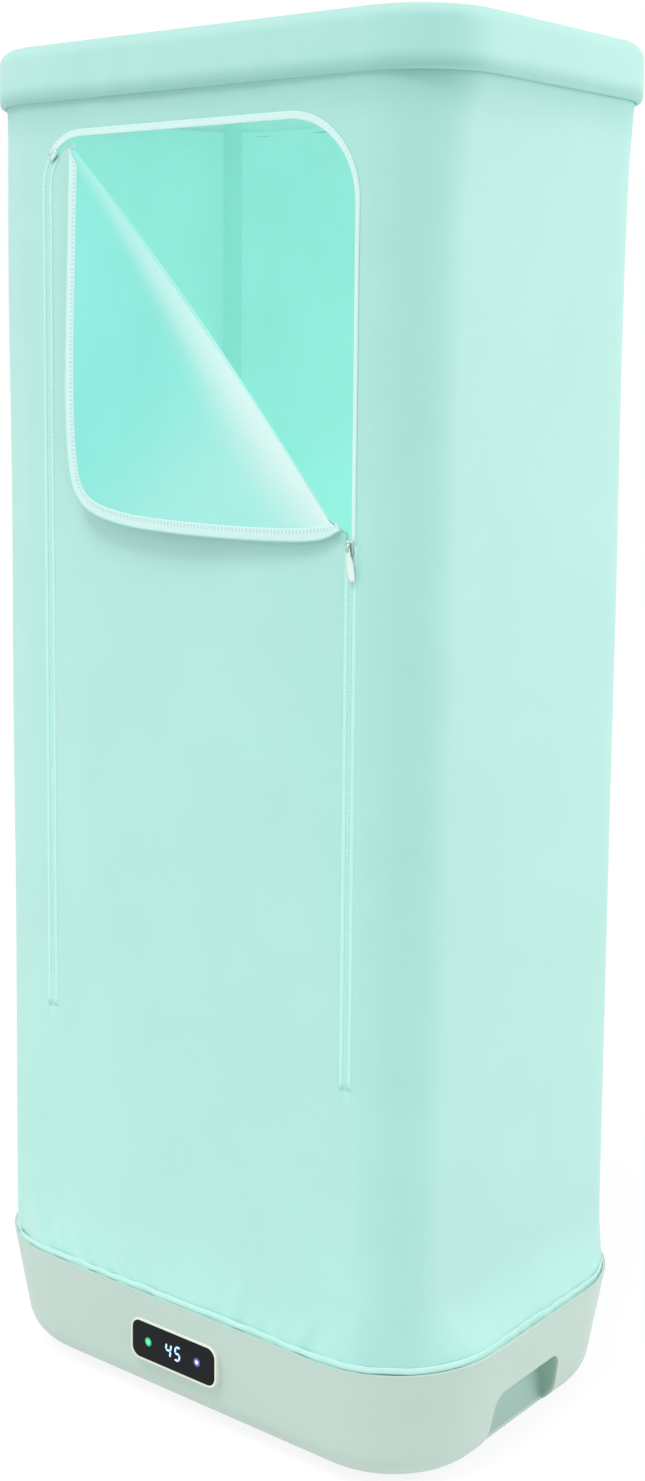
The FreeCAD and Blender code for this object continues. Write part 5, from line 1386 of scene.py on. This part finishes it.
@dataclass
class Display:
    """The display on the base's front: its bezel, its domed lens, two lights and slanted lit digits."""

    middle: float = -0.004  # X of the middle of the digits
    height: float = 0.0788  # Z of the middle of the digits
    front: float = -0.2102  # Y of the lens's front
    # Half width, half height and corner radius of the lens.
    lens: tuple[float, float, float] = (0.0563, 0.0199, 0.0100)
    lens_round: float = 0.0006  # Radius of the lens's edge
    lens_sunk: float = 0.0012  # How far back the lens's side reaches
    lens_dome: float = 0.00012  # Height of its dome
    border: float = 0.0026  # Width of the bezel round the lens
    bezel_round: float = 0.0010  # Radius of the bezel's outer edge
    bezel_deep: float = 0.0150  # How far back its side reaches
    # Rows down its inner edge: how far outside the lens, and how far in front of its face.
    bezel_lip: tuple[Span, ...] = ((0.0003, 0.0), (0.00009, -0.0001), (0.0, -0.0004), (0.0, -0.0040))
    bezel_proud: float = 0.0001  # How far it stands out in front of the lens
    green_at: float = -0.0340  # X of the green light from the middle of the digits
    white_at: float = 0.03264  # X of the white light from the middle of the digits
    light: Span = (0.0066, 0.0070)  # Half width and half height of a light
    light_dome: float = 0.0004  # Height of a light's dome
    light_sunk: float = 0.0001  # How far back its edge lies
    wide: float = 0.0088  # Width of a digit
    high: float = 0.0165  # Height of a digit
    stroke: float = 0.0024  # Width of a bar
    bar_gap: float = 0.0003  # Half the gap between two bars
    # Widths along a bar, as shares of its stroke.
    bar_widths: tuple[float, ...] = (0.06, 0.94, 1.0, 0.94, 0.06)
    bar_rise: float = 0.00022  # Half thickness of a bar
    digit_out: float = 0.0002  # How far the digits' middle stands out in front of the lens
    step: float = 0.0125  # Length from one digit to the next
    slant: float = 0.13  # Share of its height by which a digit leans
    figures: str = "45"  # What is shown
    # Ends of each bar, in half widths and half heights of a digit.
    spots: Mapping[str, tuple[Span, Span]] = field(default_factory=lambda: {
        "a": ((-1, 1), (1, 1)), "b": ((1, 1), (1, 0)), "c": ((1, 0), (1, -1)),
        "d": ((-1, -1), (1, -1)), "f": ((-1, 1), (-1, 0)), "g": ((-1, 0), (1, 0))})
    bars: Mapping[str, str] = field(default_factory=lambda: {"4": "bcfg", "5": "acdfg"})  # Bars of each digit

    def bar(self, start: Span, end: Span) -> Patch:
        """Return one bar: a raised strip with pointed ends between two places on a digit.

        Args:
            start: One end, in half widths and half heights of a digit.
            end: The other end.

        Returns:
            The bar, round the digit's middle.
        """
        ends = np.array([start, end]) * np.array([self.wide - self.stroke, self.high - self.stroke]) / 2.0
        along = ends[1] - ends[0]
        length = np.linalg.norm(along)
        along = along / length
        across = np.array([-along[1], along[0]])
        gap, half = self.bar_gap, self.stroke / 2.0
        reach = np.array([gap, gap + half, length / 2.0, length - gap - half, length - gap])
        centres = ends[0] + reach[:, None] * along
        to_room = np.stack([RIGHT, UP])
        sizes = np.array([(share * half, self.bar_rise) for share in self.bar_widths])
        return Patch.swept(centres @ to_room, across @ to_room, FRONT, ring(count=10) * sizes[:, None])

    def digit(self, figure: str, shift: float) -> Patch:
        """Return one digit: its bars, leaning by a share of their height, in its place beside the middle."""
        whole = Patch.joined(*(self.bar(*self.spots[letter]) for letter in self.bars[figure]))
        place = np.array([self.middle + shift, self.front - self.digit_out, self.height])
        whole.points = whole.points + whole.points[:, 2:] * self.slant * RIGHT + place
        return whole

    def plate(self, sizes: Sequence[float], inset: Array, rise: Array) -> Patch:
        """Return a rounded rectangle moved in by insets as it rises off the base's front.

        Args:
            sizes: Half its width, half its height and its corner radius.
            inset: How far in each of its rows lies.
            rise: How far each row stands out past the display's front.

        Returns:
            The plate.
        """
        half_width, half_height, corner = (np.maximum(size - inset, 0.0) for size in sizes)
        rim = Rim.sampled(long_side=24, short_side=8, corner=8)
        flat = rim.outline(half_width, half_height, corner, rise)
        points = np.stack([flat[..., 0] + self.middle, self.front - flat[..., 2],
                           flat[..., 1] + self.height], axis=-1)
        return Patch.grid(points, np.concatenate([flat, flat[:, :1]], axis=1)[..., :2], wrap=True)

    def rounded(self, radius: float) -> tuple[Array, Array]:
        """Return the insets and rises of a plate's rounded edge, a quarter circle."""
        angle = np.linspace(0.0, QUARTER, num=6)
        return radius * (1.0 - np.cos(angle)), radius * np.sin(angle) - radius

    def lens_face(self) -> bpy.types.Object:
        """Build the lens: a rounded edge, then a face domed by a square."""
        way = np.linspace(0.0, 1.0, num=8)[1:]
        inset, rise = self.rounded(self.lens_round)
        inset = np.concatenate([[0.0], inset, self.lens_round + (self.lens[1] - self.lens_round) * way])
        rise = np.concatenate([[-self.lens_sunk], rise, self.lens_dome * (1.0 - (1.0 - way) ** 2)])
        return self.plate(self.lens, inset, rise).piece("domed_lens", Body.BASE, "display_lens", closed=True)

    def bezel(self) -> bpy.types.Object:
        """Build the bezel: up from inside the base's wall, over a rounded edge, and down beside the lens."""
        outside, down = np.array(self.bezel_lip).T
        inset, rise = self.rounded(self.bezel_round)
        inset = np.concatenate([[0.0], inset, self.border - outside])
        rise = np.concatenate([[-self.bezel_deep], rise, down]) + self.bezel_proud
        return self.plate([size + self.border for size in self.lens], inset, rise).piece(
            "raised_bezel", Body.BASE, "display_bezel", closed=True)

    def lamp(self, name: str, aside: float, node: str) -> bpy.types.Object:
        """Build one light: an oval dome by a square, of which the UV is the way out from its middle.

        Args:
            name: Name of the piece.
            aside: Its distance from the middle of the digits.
            node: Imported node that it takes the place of.

        Returns:
            The light.
        """
        way = np.linspace(1.0, 0.0, num=8)[:, None, None]
        shares = way * ring(count=24)
        middle = np.array([self.middle + aside, self.front, self.height])
        rise = self.light_dome * (1.0 - way ** 2) - self.light_sunk
        points = middle + (shares * self.light) @ np.stack([RIGHT, UP]) + FRONT * rise
        patch = Patch.grid(points, np.concatenate([shares, shares[:, :1]], axis=1), wrap=True)
        return patch.piece(name, Body.BASE, node)

    def build(self) -> None:
        """Build and finish the bezel, the lens, the lights and the digits."""
        Finishes.BEZEL.on(self.bezel())
        Finishes.LENS.on(self.lens_face())
        Finishes.GREEN.on(self.lamp("green_light_dome", self.green_at, "lamp_green"))
        Finishes.WHITE.on(self.lamp("white_light_dome", self.white_at, "lamp_white"))
        shifts = self.step * (np.arange(len(self.figures)) - (len(self.figures) - 1) / 2.0)
        digits = Patch.joined(*(self.digit(figure, shift) for figure, shift in zip(self.figures, shifts)))
        lit = digits.piece("slanted_digits", Body.BASE, "display_digits", closed=True)
        Finishes.DIGITS.on(lit)


@dataclass
class Chassis:
    """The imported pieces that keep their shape: the base, what is in it and the frame, with their finishes."""

    # Names of the pieces that wear each finish.
    finishes: Mapping[Finishes, tuple[str, ...]] = field(default_factory=lambda: {
        Finishes.SHELL: ("base_housing",),
        Finishes.GRIP: ("grip_cup_right", "grip_cup_left"),
        Finishes.RUBBER: ("rubber_feet",),
        Finishes.PLASTIC: ("base_deck", "post_sockets", "outlet_grille", "rod_bracket_right",
                           "rod_bracket_left", "post_ferrules"),
        Finishes.CAP: ("top_cap",),
        Finishes.DARK: ("intake_grille", "fan_shroud", "fan_impeller", "power_inlet", "heater_frame",
                        "heater_standoffs", "board_components"),
        Finishes.MESH: ("dust_filter",),
        Finishes.BOARD: ("control_board", "display_board"),
        Finishes.ZINC: ("deck_screws", "bracket_screws", "fan_shaft", "fan_motor", "thermal_cutout",
                        "board_bracket"),
        Finishes.FINS: ("heater_core",),
        Finishes.BRASS: ("inlet_pins",),
        Finishes.CHROME: ("hanging_rod",),
        Finishes.POST: tuple(f"post_{part}_{where}" for part in ("lower", "upper")
                             for where in ("front_left", "front_right", "back_left", "back_right")),
    })

    def build(self) -> None:
        """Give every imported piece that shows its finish."""
        for finish, names in self.finishes.items():
            for name in names:
                finish.on(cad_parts[name])
            LOG.info("%s on %s", finish.value.name, ", ".join(names))


def stood(name: str, data: bpy.types.ID, axes: Sequence[Array], place: Place) -> bpy.types.Object:
    """Stand a camera or a lamp in its place.

    Args:
        name: Name of the object.
        data: The camera or the lamp.
        axes: Directions of its right, its top and its back.
        place: Where it stands.

    Returns:
        The object.
    """
    matrix = np.eye(4)
    matrix[:3, :3] = np.stack(axes, axis=1)
    matrix[:3, 3] = place
    thing = bpy.data.objects.new(name, data)
    thing.matrix_world = Matrix(matrix.tolist())
    bpy.context.scene.collection.objects.link(thing)
    return thing


def aimed(name: str, data: bpy.types.Light, place: Place, aim: Place) -> bpy.types.Object:
    """Stand a lamp in its place, level and pointed at what it lights."""
    back = np.subtract(place, aim)
    back = back / np.linalg.norm(back)
    side = np.cross(UP, back)
    side = side / np.linalg.norm(side)
    return stood(name, data, (side, np.cross(back, side), back), place)


@dataclass(frozen=True)
class SoftLamp:
    """A square soft lamp."""

    name: str  # Name of the lamp
    place: Place  # Where it hangs
    aim: Place  # What it points at
    size: float  # Side of the lamp
    power: float  # Power in watts

    def hang(self) -> None:
        """Hang the lamp."""
        data = bpy.data.lights.new(self.name, "AREA")
        data.energy, data.size, data.shape = self.power, self.size, "SQUARE"
        aimed(self.name, data, self.place, self.aim)


@dataclass(frozen=True)
class Skylight:
    """Even light from one direction."""

    place: Place  # Direction that it comes from
    spread: float  # Angle over which it is spread, in degrees
    strength: float  # Strength in watts to the square metre

    def hang(self) -> None:
        """Let the light in."""
        data = bpy.data.lights.new("skylight", "SUN")
        data.energy, data.angle = self.strength, math.radians(self.spread)
        aimed("skylight", data, self.place, (0.0, 0.0, 0.0))


@dataclass
class Studio:
    """The camera, the lamps, the white floor and the white surroundings."""

    eye: Place = (1.3166, -1.6752, 1.1014)  # Place of the camera
    turn: float = 39.1  # Direction of the camera round the object, in degrees
    pitch: float = 7.29  # How far it looks down, in degrees
    roll: float = 0.4  # How far it is tilted, in degrees
    lens: float = 49.49  # Focal length in millimetres
    sensor: float = 36.0  # Long side of the frame in millimetres
    shift: Span = (0.0310, -0.0908)  # Shift of the frame, in shares of its long side
    clip: Span = (0.05, 60.0)  # Nearest and furthest distance that is seen
    floor_half: float = 6.0  # Half side of the floor
    floor_grey: float = 0.9  # Lightness of the floor where it keeps the shadow
    floor_rough: float = 0.9  # Roughness of the floor
    floor_white: float = 1.04  # Strength of the floor's white
    floor_share: float = 0.84  # Share of that white in what is seen of the floor
    surround: float = 0.63  # Strength of the light from all round
    lamps: tuple[SoftLamp | Skylight, ...] = (
        SoftLamp("key", (2.6, 1.9, 1.9), (0.0, 0.0, 0.8), 2.0, 40.0),
        SoftLamp("fill", (-2.2, -2.5, 1.3), (0.0, 0.0, 0.75), 2.0, 11.0),
        Skylight((0.05, -1.0, 1.9), 22.0, 1.45),
        SoftLamp("chamber", (0.0, 0.0, 0.78), (0.0, 0.05, 1.40), 0.16, 0.14))

    def camera(self) -> None:
        """Set the camera up where the photograph was taken from."""
        turn, pitch, roll = (math.radians(angle) for angle in (self.turn, self.pitch, self.roll))
        back = np.array([math.sin(turn) * math.cos(pitch), -math.cos(turn) * math.cos(pitch),
                         math.sin(pitch)])
        right = np.array([math.cos(turn), math.sin(turn), 0.0])
        up = np.cross(back, right)
        tilted = math.cos(roll) * right + math.sin(roll) * up
        upright = -math.sin(roll) * right + math.cos(roll) * up
        data = bpy.data.cameras.new("camera")
        data.lens, data.sensor_width = self.lens, self.sensor
        data.shift_x, data.shift_y = self.shift
        data.clip_start, data.clip_end = self.clip
        bpy.context.scene.camera = stood("camera", data, (tilted, upright, back), self.eye)

    def floor(self) -> None:
        """Lay a white floor that keeps a faint shadow."""
        x, y = np.meshgrid(*[np.array([-self.floor_half, 0.0, self.floor_half])] * 2)
        points = np.stack([x, y, np.zeros_like(x)], axis=-1)
        mesh = Patch.grid(points, points[..., :2]).mesh("floor")
        thing = bpy.data.objects.new("floor", mesh)
        bpy.context.scene.collection.objects.link(thing)
        graph = Surface("white_floor")
        grey = (self.floor_grey, self.floor_grey, self.floor_grey, 1.0)
        graph.set(Base_Color=grey, Roughness=self.floor_rough)
        white = graph.node("ShaderNodeEmission", {}, {"Color": WHITE, "Strength": self.floor_white})
        graph.show(graph.node("ShaderNodeMixShader", {}, {
            0: graph.seen() * self.floor_share, 1: graph.shaded(), 2: white}))
        mesh.materials.append(graph.material)

    def surroundings(self) -> None:
        """Make the world white to the camera, in mirrors too, and softly lit for the object."""
        world = bpy.data.worlds.new("studio")
        bpy.context.scene.world = world
        world.use_nodes = True
        graph = Graph(world.node_tree, "ShaderNodeOutputWorld")
        strength = graph.seen() * (1.0 - self.surround) + self.surround
        graph.show(graph.node("ShaderNodeBackground", {}, {"Color": WHITE, "Strength": strength}))

    def build(self) -> None:
        """Set up the camera, the floor, the surroundings and the lamps."""
        self.camera()
        self.floor()
        self.surroundings()
        for lamp in self.lamps:
            lamp.hang()
        bpy.context.scene.view_settings.view_transform = "Standard"


def main() -> None:
    """Build every sub-assembly in order."""
    logging.basicConfig(level=logging.INFO, format="%(name)s: %(message)s")
    line = ZipLine()
    cover = Cover(line)
    door = Door(cover)
    Chassis().build()
    cover.build(door.panel())
    door.build()
    Zip(line, door).build()
    Display().build()
    Studio().build()


if __name__ == "__main__":
    main()
